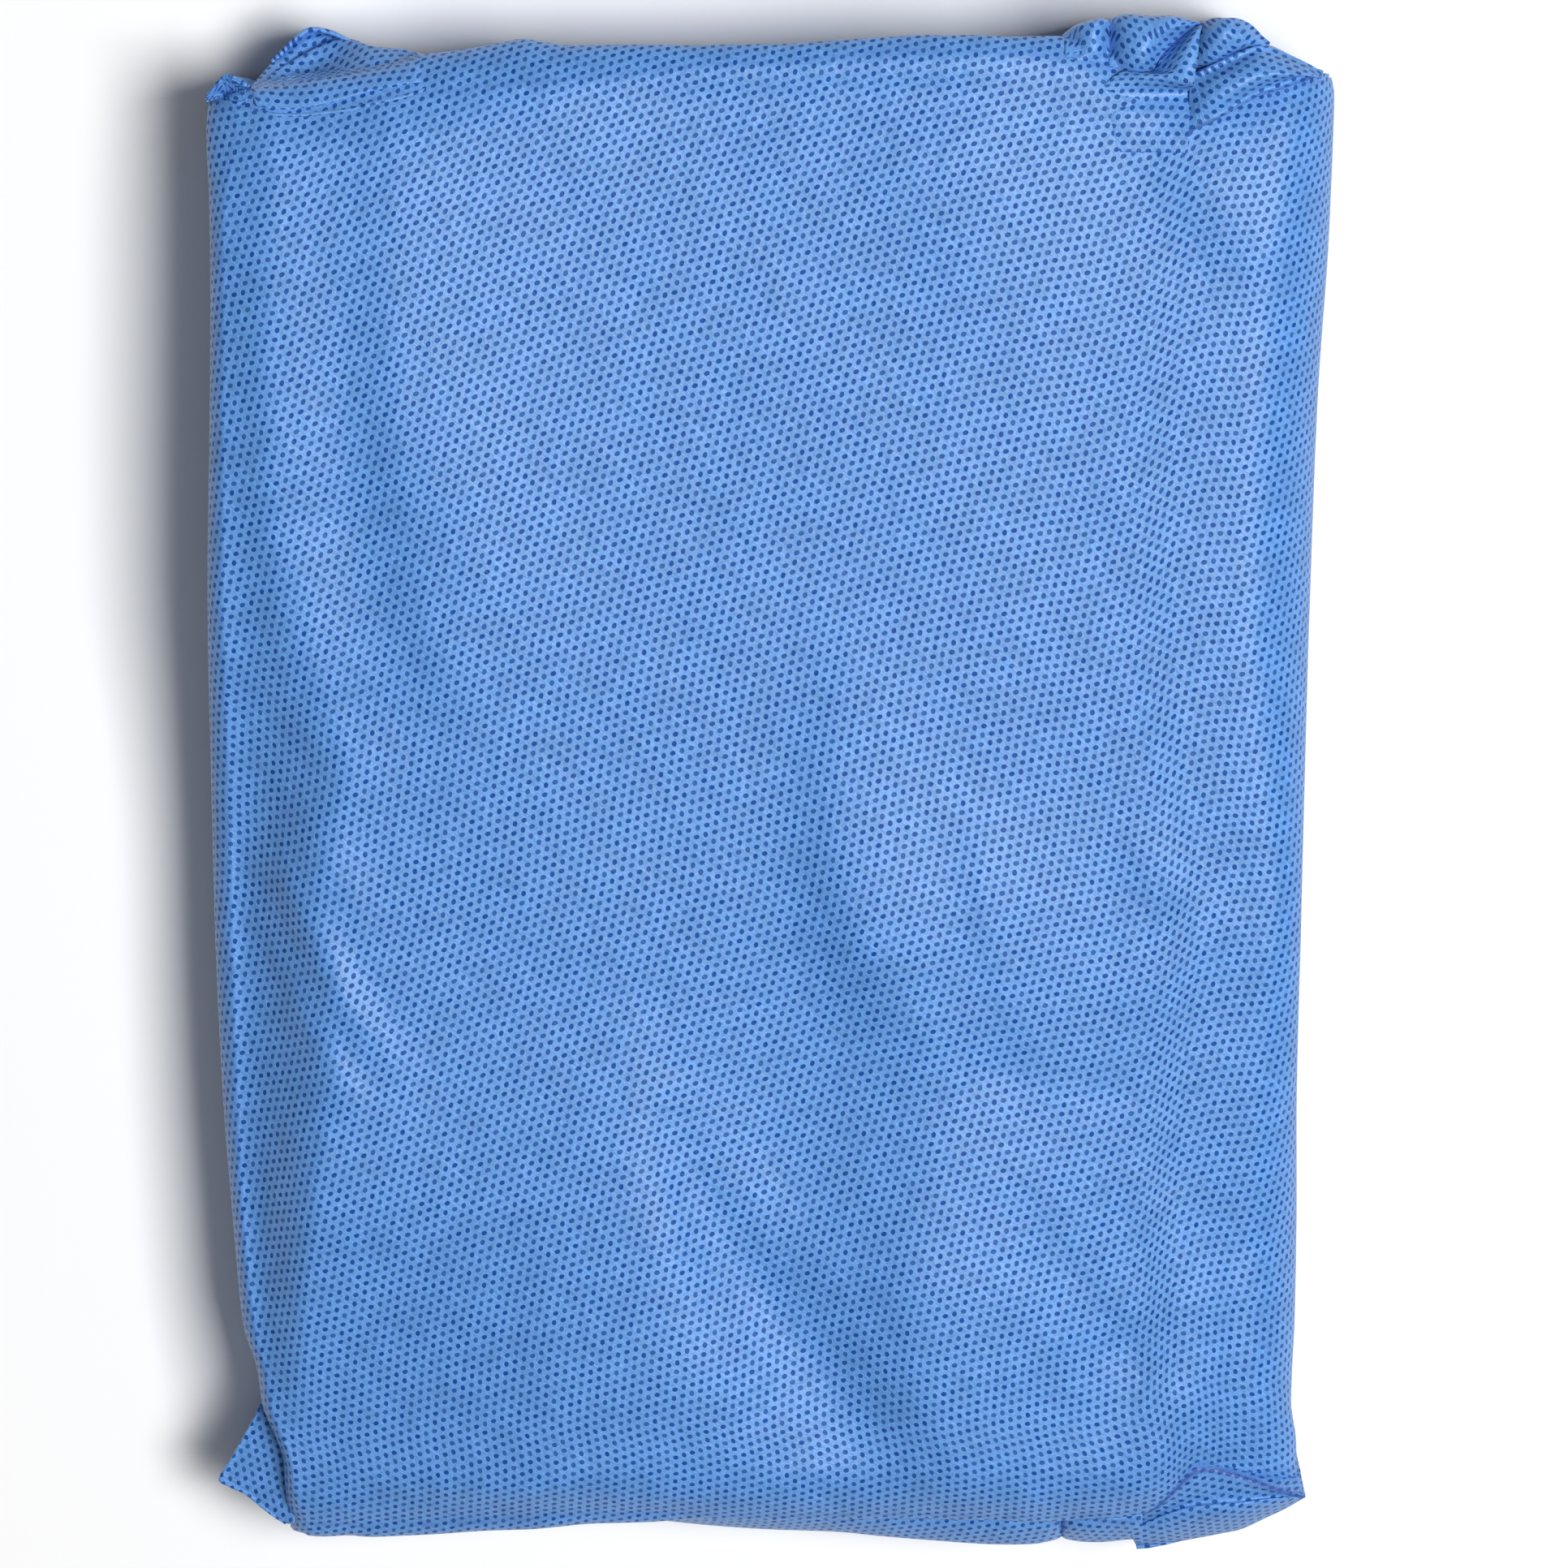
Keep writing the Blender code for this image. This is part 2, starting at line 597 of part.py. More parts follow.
def build_pack():
    clear_scene()
    face_cloth = make_material(FACE_CLOTH)
    inner_cloth = make_material(INNER_CLOTH)
    build_folded_layers(inner_cloth)
    build_outer_panel(face_cloth)
    build_end_wall("top_end_wall", TOP_EDGE, face_cloth)
    build_end_wall("bottom_end_wall", BOTTOM_EDGE, face_cloth)
    for pleat in TOP_PLEATS:
        build_pleat(pleat, TOP_EDGE, face_cloth)
    for pleat in BOTTOM_PLEATS:
        build_pleat(pleat, BOTTOM_EDGE, face_cloth)
    build_top_left_ear(face_cloth)
    build_top_right_dog_ear(face_cloth)
    build_top_right_flap(face_cloth)
    build_bottom_left_ear(face_cloth)
    build_bottom_right_fold(face_cloth)


build_pack()
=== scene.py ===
"""Looks of a surgical gown folded into a flat pack and wrapped in its own cloth.

The pack lies on a pale floor. Shapes are worked out in millimetres, in the frame
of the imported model: X across the pack, Y along it towards its pleated end, Z up.
"""
from __future__ import annotations

import logging
import math
from dataclasses import dataclass
from enum import Enum
from itertools import groupby
from typing import NamedTuple, Sequence

import bpy
import numpy as np
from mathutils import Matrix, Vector


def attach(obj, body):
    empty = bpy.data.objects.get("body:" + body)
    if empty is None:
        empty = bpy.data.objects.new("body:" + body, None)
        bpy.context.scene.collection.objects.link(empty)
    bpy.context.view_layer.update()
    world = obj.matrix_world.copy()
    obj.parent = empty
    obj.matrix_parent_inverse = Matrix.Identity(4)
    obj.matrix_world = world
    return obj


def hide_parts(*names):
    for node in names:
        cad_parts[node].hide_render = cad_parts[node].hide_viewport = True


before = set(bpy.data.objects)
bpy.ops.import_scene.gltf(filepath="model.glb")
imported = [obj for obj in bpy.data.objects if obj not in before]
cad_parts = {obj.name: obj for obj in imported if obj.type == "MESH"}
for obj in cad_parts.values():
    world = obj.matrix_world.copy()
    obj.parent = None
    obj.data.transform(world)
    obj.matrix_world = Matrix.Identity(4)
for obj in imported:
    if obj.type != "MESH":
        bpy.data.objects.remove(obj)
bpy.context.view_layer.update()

LOG = logging.getLogger("folded_gown")
BODY = "root"
INNER_SLOT = "folded_cloth"
MM = 0.001
UV_PER_MM = 0.01
CLOTH_MM = 0.36
Array = np.ndarray


class End(Enum):
    """The two ends of the pack."""

    TOP = 1.0
    BOTTOM = -1.0


class Stretch(Enum):
    """The stretches of the wrap, in the order in which it goes round the pack."""

    UNDER_LEFT = "under_left"
    LEFT = "left"
    FACE = "face"
    RIGHT = "right"
    UNDER_RIGHT = "under_right"
    LAP = "lap"


def mix(a: Array | float, b: Array | float, share: Array | float) -> Array | float:
    """Blend from a to b by a share."""
    return a + (b - a) * share


def ease(share: Array | float) -> Array:
    """Smooth step of a share that is held between 0 and 1."""
    held = np.clip(share, 0.0, 1.0)
    return held * held * (3.0 - 2.0 * held)


def through(places: Sequence[float], values: Sequence[float], at: Array | float) -> Array:
    """Read a smooth curve through a table's values, without overshoot.

    Args:
        places: Where the values are given, rising.
        values: The value at each place.
        at: The places to read.

    Returns:
        The curve's value at each place that is read.
    """
    x = np.asarray(places, float)
    v = np.asarray(values, float)
    steps = np.diff(v) / np.diff(x)
    slopes = np.zeros(len(x))
    slopes[0], slopes[-1] = steps[0], steps[-1]
    before, after = steps[:-1], steps[1:]
    same = before * after > 0
    slopes[1:-1][same] = 2 * before[same] * after[same] / (before[same] + after[same])
    held = np.clip(at, x[0], x[-1])
    i = np.clip(np.searchsorted(x, held, side="right") - 1, 0, len(x) - 2)
    span = x[i + 1] - x[i]
    t = (held - x[i]) / span
    return (
        v[i] * (1 + 2 * t) * (1 - t) ** 2
        + v[i + 1] * t * t * (3 - 2 * t)
        + slopes[i] * span * t * (1 - t) ** 2
        - slopes[i + 1] * span * t * t * (1 - t)
    )


def smooth_path(points: Array, count: int) -> Array:
    """A smooth curve through a few points.

    Args:
        points: The points, first axis along the curve; other axes are free.
        count: How many points the finer curve has.

    Returns:
        The finer curve, evenly spaced between the given points.
    """
    points = np.asarray(points, float)
    place = np.linspace(0, len(points) - 1, count)
    i = np.clip(place.astype(int), 0, len(points) - 2)
    shape = (-1,) + (1,) * (points.ndim - 1)
    t = (place - i).reshape(shape)
    here, there = points[i], points[i + 1]
    start = (there - points[np.maximum(i - 1, 0)]) * 0.5
    stop = (points[np.minimum(i + 2, len(points) - 1)] - here) * 0.5
    return (
        here * (1 + 2 * t) * (1 - t) ** 2
        + there * t * t * (3 - 2 * t)
        + start * t * (1 - t) ** 2
        - stop * t * t * (1 - t)
    )


def ripple(x: Array, y: Array, wavelength: float, seed: float) -> Array:
    """A soft uneven ripple between about -1 and 1, made of turned sine waves.

    Args:
        x: Places across.
        y: Places along.
        wavelength: Typical distance between crests, in millimetres.
        seed: A number that shifts and turns the waves.

    Returns:
        The ripple at each place.
    """
    total = np.zeros(np.broadcast(x, y).shape)
    for k in range(7):
        turn = seed + 2.399963 * k
        stretch = wavelength * (0.75 + 0.13 * k)
        phase = 5.0 * math.sin(3.7 * seed + 1.9 * k)
        total += np.sin(2 * math.pi * (x * math.cos(turn) + y * math.sin(turn)) / stretch + phase)
    return total / 3.5


class Section(NamedTuple):
    """The pack's plan outline and edge heights at one place along it."""

    y: float
    left: float
    crease: float
    left_height: float
    right: float
    right_height: float
    rounding: float


class Step(NamedTuple):
    """The face's step down off the hidden layers, at one place along the pack."""

    y: float
    x: float
    width: float
    drop: float


class EndEdge(NamedTuple):
    """The face's crease over an end, the end wall and the face's roll, at one x."""

    x: float
    crease: float
    wall: float
    roll: float


class Fold(NamedTuple):
    """A ridge of the face, or a trough where height is negative."""

    x0: float
    y0: float
    x1: float
    y1: float
    width: float
    height: float


SECTIONS = (
    Section(-120, -72.0, -70.6, 29.2, 84.2, 29.0, 6.0),
    Section(-114, -75.3, -73.0, 29.2, 84.1, 29.4, 6.5),
    Section(-110, -75.5, -74.0, 28.9, 83.7, 29.8, 7.0),
    Section(-106, -75.6, -74.2, 28.7, 82.8, 30.0, 7.2),
    Section(-102, -76.9, -75.5, 28.3, 82.6, 30.3, 7.6),
    Section(-97, -78.9, -77.4, 27.9, 81.7, 30.7, 8.2),
    Section(-92, -79.5, -78.1, 27.5, 81.8, 31.0, 9.0),
    Section(-84, -81.8, -79.9, 26.8, 82.1, 31.3, 9.6),
    Section(-70, -83.0, -81.3, 26.0, 82.2, 31.8, 10.0),
    Section(-45, -84.6, -82.3, 25.5, 81.8, 32.8, 8.0),
    Section(-15, -85.5, -82.8, 24.5, 82.0, 33.5, 6.0),
    Section(5, -85.6, -82.9, 26.5, 82.4, 34.0, 9.0),
    Section(30, -85.5, -83.1, 31.5, 83.0, 34.0, 12.0),
    Section(62, -84.7, -82.6, 33.0, 83.9, 34.0, 12.5),
    Section(84, -84.4, -82.4, 33.0, 85.2, 33.6, 12.2),
    Section(92, -84.4, -82.2, 33.0, 85.5, 33.4, 12.0),
    Section(104, -84.8, -80.4, 32.2, 85.9, 32.5, 11.0),
    Section(108.5, -84.4, -80.2, 31.6, 86.0, 31.5, 10.0),
    Section(112, -82.8, -79.8, 31.0, 85.4, 30.5, 9.0),
)
STEPS = (
    Step(-106, -73.0, 9.0, 0.0),
    Step(-92, -75.6, 8.0, 3.0),
    Step(-76, -75.4, 10.0, 6.5),
    Step(-57, -75.0, 13.5, 9.0),
    Step(-38, -73.8, 16.5, 8.8),
    Step(-25, -73.5, 17.0, 9.2),
    Step(-13, -75.0, 14.5, 9.0),
    Step(6, -72.3, 19.0, 7.5),
    Step(18, -74.0, 14.0, 4.0),
    Step(30, -75.0, 12.0, 1.5),
    Step(45, -75.0, 12.0, 0.0),
)
TOP_EDGE = (
    EndEdge(-85.0, 107.3, 107.9, 1.2),
    EndEdge(-82.6, 107.9, 108.7, 1.2),
    EndEdge(-80.7, 108.4, 110.0, 1.2),
    EndEdge(-77.7, 108.3, 110.6, 1.2),
    EndEdge(-73.4, 108.2, 111.2, 1.2),
    EndEdge(-66.7, 108.5, 112.2, 1.2),
    EndEdge(-60.5, 109.0, 113.2, 1.2),
    EndEdge(-54.4, 110.0, 114.7, 1.2),
    EndEdge(-52.1, 110.2, 115.4, 1.2),
    EndEdge(-47.1, 110.7, 116.0, 1.2),
    EndEdge(-42.2, 111.4, 116.8, 1.2),
    EndEdge(-38.8, 111.9, 117.5, 1.2),
    EndEdge(-37.2, 112.0, 117.8, 1.2),
    EndEdge(-34.9, 112.2, 117.6, 1.2),
    EndEdge(-30.0, 112.6, 117.0, 1.2),
    EndEdge(-20.1, 113.6, 117.2, 1.2),
    EndEdge(-11.7, 114.5, 117.2, 1.2),
    EndEdge(-4.8, 114.9, 117.4, 1.2),
    EndEdge(1.8, 115.2, 117.5, 1.2),
    EndEdge(14.0, 116.4, 118.3, 1.2),
    EndEdge(18.9, 116.8, 118.6, 1.2),
    EndEdge(23.1, 117.0, 118.9, 1.2),
    EndEdge(26.2, 117.0, 118.9, 1.2),
    EndEdge(31.1, 116.8, 118.9, 1.2),
    EndEdge(37.2, 116.5, 118.6, 1.2),
    EndEdge(43.3, 116.0, 118.6, 1.2),
    EndEdge(46.9, 115.7, 117.7, 1.2),
    EndEdge(53.4, 114.1, 116.1, 1.2),
    EndEdge(58.3, 113.3, 115.2, 1.2),
    EndEdge(63.7, 111.4, 114.1, 1.2),
    EndEdge(68.9, 111.4, 114.2, 1.2),
    EndEdge(73.8, 112.4, 114.9, 1.2),
    EndEdge(79.9, 111.8, 113.4, 1.2),
    EndEdge(84.8, 110.8, 111.6, 1.2),
    EndEdge(86.5, 109.8, 110.5, 1.2),
)
BOTTOM_EDGE = (
    EndEdge(-73.5, -116.5, -119.3, 4.2),
    EndEdge(-70.2, -117.2, -119.9, 4.3),
    EndEdge(-62.9, -116.5, -119.0, 4.4),
    EndEdge(-55.9, -115.9, -118.6, 4.5),
    EndEdge(-43.8, -114.6, -117.1, 4.7),
    EndEdge(-37.5, -114.1, -116.8, 4.8),
    EndEdge(-31.1, -113.4, -115.9, 4.9),
    EndEdge(-18.5, -113.2, -115.4, 5.1),
    EndEdge(-9.6, -113.7, -114.7, 5.2),
    EndEdge(-0.4, -114.0, -115.0, 5.2),
    EndEdge(10.3, -114.0, -115.0, 5.2),
    EndEdge(23.6, -113.9, -114.9, 5.2),
    EndEdge(35.6, -114.1, -115.1, 5.2),
    EndEdge(41.7, -114.5, -115.5, 5.2),
    EndEdge(49.1, -114.5, -115.5, 5.2),
    EndEdge(54.9, -114.1, -115.1, 4.6),
    EndEdge(59.9, -112.8, -113.8, 3.8),
    EndEdge(63.6, -110.3, -111.3, 3.0),
    EndEdge(66.7, -106.9, -107.9, 1.9),
    EndEdge(68.4, -105.4, -106.4, 1.4),
    EndEdge(69.9, -105.5, -106.5, 1.3),
    EndEdge(74.1, -106.8, -107.8, 1.2),
    EndEdge(77.9, -108.0, -109.0, 1.1),
    EndEdge(80.8, -109.1, -110.1, 1.1),
    EndEdge(83.2, -109.5, -110.5, 1.0),
)
FOLDS = (
    Fold(20, 14, 28, -34, 13.0, 0.6),
    Fold(-52, 88, -44, 10, 12.0, 0.6),
    Fold(-76, 8, -58, -22, 4.0, 0.5),
)


class SoftFold(NamedTuple):
    """A soft ridge along a bent path, or a trough where heights are negative.

    Widths are to the left and to the right of the path, seen along it.
    """

    path: tuple[tuple[float, float], ...]
    left: tuple[float, ...]
    right: tuple[float, ...]
    heights: tuple[float, ...]


SOFT_FOLDS = (
    SoftFold(
        ((-73.6, 116.0), (-73.9, 88.8), (-74.6, 63.4), (-74.1, 40.5), (-72.0, 16.0)),
        (15.0, 16.0, 14.0, 11.0, 9.0), (6.0, 7.0, 6.0, 5.0, 5.0), (1.8, 3.0, 2.9, 2.0, 0.0),
    ),
    SoftFold(
        ((-55.5, 114.0), (-54.9, 85.0), (-55.3, 65.9), (-53.4, 45.6), (-49.3, 25.3), (-42.0, 2.0)),
        (17.0, 18.0, 17.0, 15.0, 14.0, 12.0), (9.0, 9.0, 7.0, 6.0, 6.0, 7.0), (1.2, 2.1, 2.0, 1.6, 1.1, 0.0),
    ),
    SoftFold(
        ((-76.4, -4.0), (-70.2, -19.1), (-64.0, -30.6), (-54.0, -44.0)),
        (2.4, 2.6, 3.0, 4.0), (3.0, 3.0, 3.0, 4.0), (0.0, 1.1, 0.9, 0.0),
    ),
    SoftFold(
        ((-78.0, -14.0), (-73.0, -28.0), (-67.0, -40.0), (-60.0, -50.0)),
        (2.2, 2.6, 3.0, 4.0), (3.0, 3.0, 3.0, 4.0), (0.0, 0.8, 0.7, 0.0),
    ),
    SoftFold(
        ((-24.0, -30.0), (-19.6, -53.4), (-17.3, -71.2), (-15.4, -87.7), (-12.0, -106.0)),
        (6.0, 8.0, 12.0, 17.0, 18.0), (30.0, 30.0, 30.0, 26.0, 20.0), (0.0, 2.0, 3.0, 3.0, 1.2),
    ),
    SoftFold(
        ((-17.2, -44.0), (-12.5, -58.5), (-6.3, -69.9), (2.4, -82.0), (11.1, -93.4), (21.0, -108.0)),
        (5.0, 5.0, 6.0, 7.0, 8.0, 8.0), (4.0, 5.0, 7.0, 9.0, 11.0, 11.0), (0.0, -1.3, -1.9, -2.3, -2.1, -0.8),
    ),
    SoftFold(
        ((32.0, -40.0), (26.6, -63.6), (25.1, -77.6), (26.3, -91.5), (34.0, -108.0)),
        (24.0, 26.0, 28.0, 26.0, 20.0), (12.0, 12.0, 11.0, 10.0, 9.0), (0.0, 2.0, 2.8, 2.5, 0.8),
    ),
    SoftFold(
        ((38.0, -60.0), (46.4, -73.8), (53.2, -83.9), (60.0, -93.0)),
        (4.0, 4.0, 4.0, 4.0), (4.0, 4.0, 4.0, 4.0), (0.0, -0.6, -0.6, 0.0),
    ),
    SoftFold(
        ((16.0, 34.0), (11.7, 10.1), (11.4, -5.2), (14.9, -19.1), (21.3, -30.6), (30.0, -44.0)),
        (10.0, 11.0, 13.0, 15.0, 14.0, 12.0), (6.0, 6.0, 6.0, 6.0, 7.0, 8.0), (0.0, 0.9, 1.6, 2.2, 1.7, 0.0),
    ),
    SoftFold(
        ((33.0, 2.0), (34.7, -16.6), (39.2, -29.3), (49.0, -46.0)),
        (18.0, 18.0, 18.0, 18.0), (4.0, 4.0, 5.0, 6.0), (0.0, 0.9, 0.9, 0.0),
    ),
    SoftFold(
        ((10.0, -18.0), (2.4, -39.5), (1.8, -52.2), (10.0, -68.0)),
        (14.0, 15.0, 15.0, 12.0), (10.0, 10.0, 9.0, 9.0), (0.0, -1.2, -1.4, 0.0),
    ),
    SoftFold(
        ((-56.0, 111.4), (-23.0, 113.7), (1.8, 114.7), (26.6, 116.0), (48.0, 116.2)),
        (2.5, 2.5, 2.5, 2.5, 2.5), (4.0, 4.0, 4.0, 4.0, 4.0), (0.0, 0.8, 1.1, 1.2, 0.0),
    ),
    SoftFold(
        ((-30.0, 108.5), (-5.0, 109.5), (22.0, 110.5), (46.0, 108.5)),
        (4.0, 4.0, 4.0, 4.0), (6.0, 6.0, 6.0, 6.0), (0.0, -0.7, -0.7, 0.0),
    ),
    SoftFold(
        ((42.0, 117.5), (48.3, 113.2), (53.6, 109.1), (58.8, 104.7)),
        (3.0, 3.0, 3.0, 3.0), (4.5, 4.5, 4.5, 4.5), (0.3, 0.9, 0.8, 0.0),
    ),
    SoftFold(
        ((61.0, 108.0), (67.7, 96.4), (72.4, 90.1), (80.0, 80.0)),
        (9.0, 9.0, 9.0, 8.0), (6.0, 7.0, 7.0, 6.0), (0.0, 1.4, 1.2, 0.0),
    ),
    SoftFold(
        ((70.5, -70.0), (66.0, -87.7), (63.1, -96.6), (59.5, -108.0)),
        (8.0, 8.0, 7.0, 7.0), (7.0, 7.0, 7.0, 7.0), (0.0, 1.4, 2.0, 1.4),
    ),
    SoftFold(
        ((54.0, 0.0), (60.0, -10.3), (68.0, -17.0)),
        (4.0, 4.0, 4.0), (4.0, 4.0, 4.0), (0.0, 0.5, 0.0),
    ),
    SoftFold(
        ((73.0, -14.0), (62.5, -24.2), (55.0, -33.0)),
        (4.0, 4.0, 4.0), (5.0, 5.0, 5.0), (0.0, 0.6, 0.0),
    ),
    SoftFold(
        ((56.0, -54.0), (61.9, -69.9), (66.0, -86.0)),
        (3.5, 4.0, 4.0), (4.0, 4.0, 4.0), (0.0, 0.6, 0.0),
    ),
    SoftFold(
        ((18.0, 114.0), (26.6, 97.7), (35.2, 86.3), (50.0, 70.0)),
        (16.0, 17.0, 18.0, 16.0), (9.0, 9.0, 10.0, 10.0), (0.0, 0.6, 0.6, 0.0),
    ),
    SoftFold(
        ((-74.0, -105.5), (-58.0, -106.5), (-38.0, -107.5), (-14.0, -109.0)),
        (5.0, 5.0, 5.0, 5.0), (3.0, 3.5, 4.0, 4.0), (0.6, 1.2, 1.0, 0.0),
    ),
    SoftFold(
        ((82.0, -24.0), (81.0, -50.0), (80.0, -80.0), (81.0, -112.0)),
        (8.0, 8.0, 8.0, 8.0), (8.0, 8.0, 9.0, 9.0), (0.0, -1.8, -2.6, -2.0),
    ),
)


def soft_fold_height(fold: SoftFold, x: Array, y: Array) -> Array:
    """Height of one soft fold at places on the face.

    Args:
        fold: The fold.
        x: Places across, in millimetres.
        y: Places along, in millimetres.

    Returns:
        The height at each place.
    """
    count = 6 * len(fold.path)
    path = smooth_path(fold.path, count)
    given = np.linspace(0.0, 1.0, len(fold.path))
    fine = np.linspace(0.0, 1.0, count)
    left, right = through(given, fold.left, fine), through(given, fold.right, fine)
    heights = through(given, fold.heights, fine)
    x, y = np.broadcast_arrays(np.asarray(x, float), np.asarray(y, float))
    nearest = np.full(x.shape, np.inf)
    total = np.zeros(x.shape)
    for i in range(count - 1):
        step = path[i + 1] - path[i]
        length = float(np.hypot(*step))
        ux, uy = step / length
        share = np.clip(((x - path[i, 0]) * ux + (y - path[i, 1]) * uy) / length, 0.0, 1.0)
        dx = x - path[i, 0] - share * step[0]
        dy = y - path[i, 1] - share * step[1]
        away = np.hypot(dx, dy)
        on_left = dy * ux - dx * uy > 0
        width = np.where(on_left, mix(left[i], left[i + 1], share), mix(right[i], right[i + 1], share))
        height = mix(heights[i], heights[i + 1], share) * np.exp(-((away / width) ** 2))
        closer = away < nearest
        nearest = np.where(closer, away, nearest)
        total = np.where(closer, height, total)
    return total


@dataclass(frozen=True)
class PackForm:
    """The outside of the wrapped pack, as heights and sections in millimetres."""

    face_height_mm: float = 34.5
    foot: float = 4.0
    left_rise: float = 45.0
    right_fall: float = 50.0
    bottom_roll: float = 9.5
    top_roll: float = 7.0
    bevel_start_deg: float = 38.0
    left_bevel: float = 0.42
    left_drop: float = 4.6
    left_wall: float = 0.74
    side_lean: float = 0.07
    right_arc: float = 0.42
    right_straight: float = 0.62
    end_bevel: float = 0.52
    end_more_drop: float = 0.8
    top_lean: float = 0.17
    bottom_lean: float = 0.05
    clear_of_floor: float = 0.4
    dome: float = 2.0
    dome_reach: float = 90.0
    sway: float = 0.10
    small_sway: float = 0.05

    def section(self, column: str, y: Array | float) -> Array:
        """Read one column of the sections at places along the pack."""
        return through([row.y for row in SECTIONS], [getattr(row, column) for row in SECTIONS], y)

    def step(self, column: str, y: Array | float) -> Array:
        """Read one column of the face's step at places along the pack."""
        return through([row.y for row in STEPS], [getattr(row, column) for row in STEPS], y)

    def edge(self, end: End, column: str, x: Array | float) -> Array:
        """Read one column of an end's edge at places across the pack."""
        rows = TOP_EDGE if end is End.TOP else BOTTOM_EDGE
        return through([row.x for row in rows], [getattr(row, column) for row in rows], x)

    def folds(self, x: Array, y: Array) -> Array:
        """Height of the face's ridges and troughs together."""
        total = np.zeros(np.broadcast(x, y).shape)
        for fold in FOLDS:
            length = math.hypot(fold.x1 - fold.x0, fold.y1 - fold.y0)
            ux, uy = (fold.x1 - fold.x0) / length, (fold.y1 - fold.y0) / length
            along = np.clip(((x - fold.x0) * ux + (y - fold.y0) * uy) / length, 0.0, 1.0)
            across = (y - fold.y0) * ux - (x - fold.x0) * uy
            total += fold.height * np.sin(math.pi * along) ** 2 * np.exp(-((across / fold.width) ** 2))
        for soft in SOFT_FOLDS:
            total += soft_fold_height(soft, x, y)
        total += self.dome * (1.0 - (y / self.dome_reach) ** 2) + self.sway * ripple(x, y, 34.0, 0.7)
        return total + self.small_sway * ripple(x, y, 12.0, 2.1)

    def rolls(self, x: Array, y: Array) -> Array:
        """How far the face drops towards the creases at its two ends."""
        from_bottom = np.maximum(0.0, y - self.edge(End.BOTTOM, "crease", x))
        from_top = np.maximum(0.0, self.edge(End.TOP, "crease", x) - y)
        bottom = self.edge(End.BOTTOM, "roll", x) * np.maximum(0.0, 1 - from_bottom / self.bottom_roll) ** 2
        top = self.edge(End.TOP, "roll", x) * np.maximum(0.0, 1 - from_top / self.top_roll) ** 2
        return bottom + top

    def face(self, x: Array, y: Array) -> Array:
        """Height of the face between its left crease and its right bend.

        Args:
            x: Places across, in millimetres.
            y: Places along, in millimetres.

        Returns:
            The height of the cloth's outside.
        """
        left = self.section("left_height", y)
        right = self.section("right_height", y)
        bend = self.section("right", y) - self.section("rounding", y)
        drop = self.step("drop", y)
        step = self.step("x", y)
        height = left + drop * ease((x - step) / self.step("width", y) + 0.5)
        height = height + (self.face_height_mm - left - drop) * ease((x - step) / self.left_rise)
        height = height + (right - self.face_height_mm) * ease((x - bend + self.right_fall) / self.right_fall)
        return height + self.folds(x, y) - self.rolls(x, y)

    def top(self, x: Array, y: Array) -> Array:
        """Height of the pack's outside, the bend over the right side included."""
        rounding = self.section("rounding", y)
        bend = self.section("right", y) - rounding
        past = np.clip(x - bend, 0.0, rounding)
        return self.face(np.minimum(x, bend), y) - rounding + np.sqrt(rounding**2 - past**2)

    def bevel(self, share: Array | float) -> tuple[Array, Array]:
        """A rounded edge that starts with a crease, as shares of its width and its drop.

        Args:
            share: Shares of the way over the edge.

        Returns:
            How far out and how far down it has come.
        """
        start = math.radians(self.bevel_start_deg)
        angle = mix(start, math.pi / 2, np.clip(share, 0.0, 1.0))
        out = (np.sin(angle) - math.sin(start)) / (1 - math.sin(start))
        fall = (math.cos(start) - np.cos(angle)) / math.cos(start)
        return out, fall

    def bevel_fall(self, out: Array) -> Array:
        """Share of the bevel's drop where it has come out by a share of its width."""
        start = math.radians(self.bevel_start_deg)
        sine = mix(math.sin(start), 1.0, np.clip(out, 0.0, 1.0))
        return (math.cos(start) - np.sqrt(1 - sine**2)) / math.cos(start)

    def roof(self, x: Array, y: Array) -> tuple[Array, Array]:
        """Height of the wrap seen from above, its rounded edges included.

        Args:
            x: Places across, in millimetres.
            y: Places along, in millimetres.

        Returns:
            The height, and whether the wrap is there at all.
        """
        left, crease = self.section("left", y), self.section("crease", y)
        low, high = self.edge(End.BOTTOM, "crease", x), self.edge(End.TOP, "crease", x)
        height = self.top(np.maximum(x, crease), np.clip(y, low, high))
        height = height - self.left_drop * self.bevel_fall((crease - x) / (crease - left))
        there = (x > left) & (x < self.section("right", y))
        for end, start in ((End.TOP, high), (End.BOTTOM, low)):
            width = np.abs(self.edge(end, "wall", x) - start)
            out = (y - start) * end.value / width
            height = height - (width + self.end_more_drop) * self.bevel_fall(out)
            there = there & (out < 1.0)
        return height, there

    def left_side(self, y: Array, share: Array) -> tuple[Array, Array]:
        """Points of the left side, from the crease, 0, to the underside, 1.

        Args:
            y: Places along the pack.
            share: Shares of the way down the side.

        Returns:
            Their x and their height.
        """
        left = self.section("left", y)
        crease = self.section("crease", y)
        out, fall = self.bevel(share / self.left_bevel)
        start = self.face(crease, y) - self.left_drop * fall
        down = np.clip((share - self.left_bevel) / (self.left_wall - self.left_bevel), 0.0, 1.0)
        angle = np.clip((share - self.left_wall) / (1 - self.left_wall), 0.0, 1.0) * math.pi / 2
        z = mix(start, self.foot, down)
        x = crease - (crease - left) * out + self.side_lean * (start - z) + self.foot * (1 - np.cos(angle))
        z = z - self.foot * np.sin(angle)
        return x, z

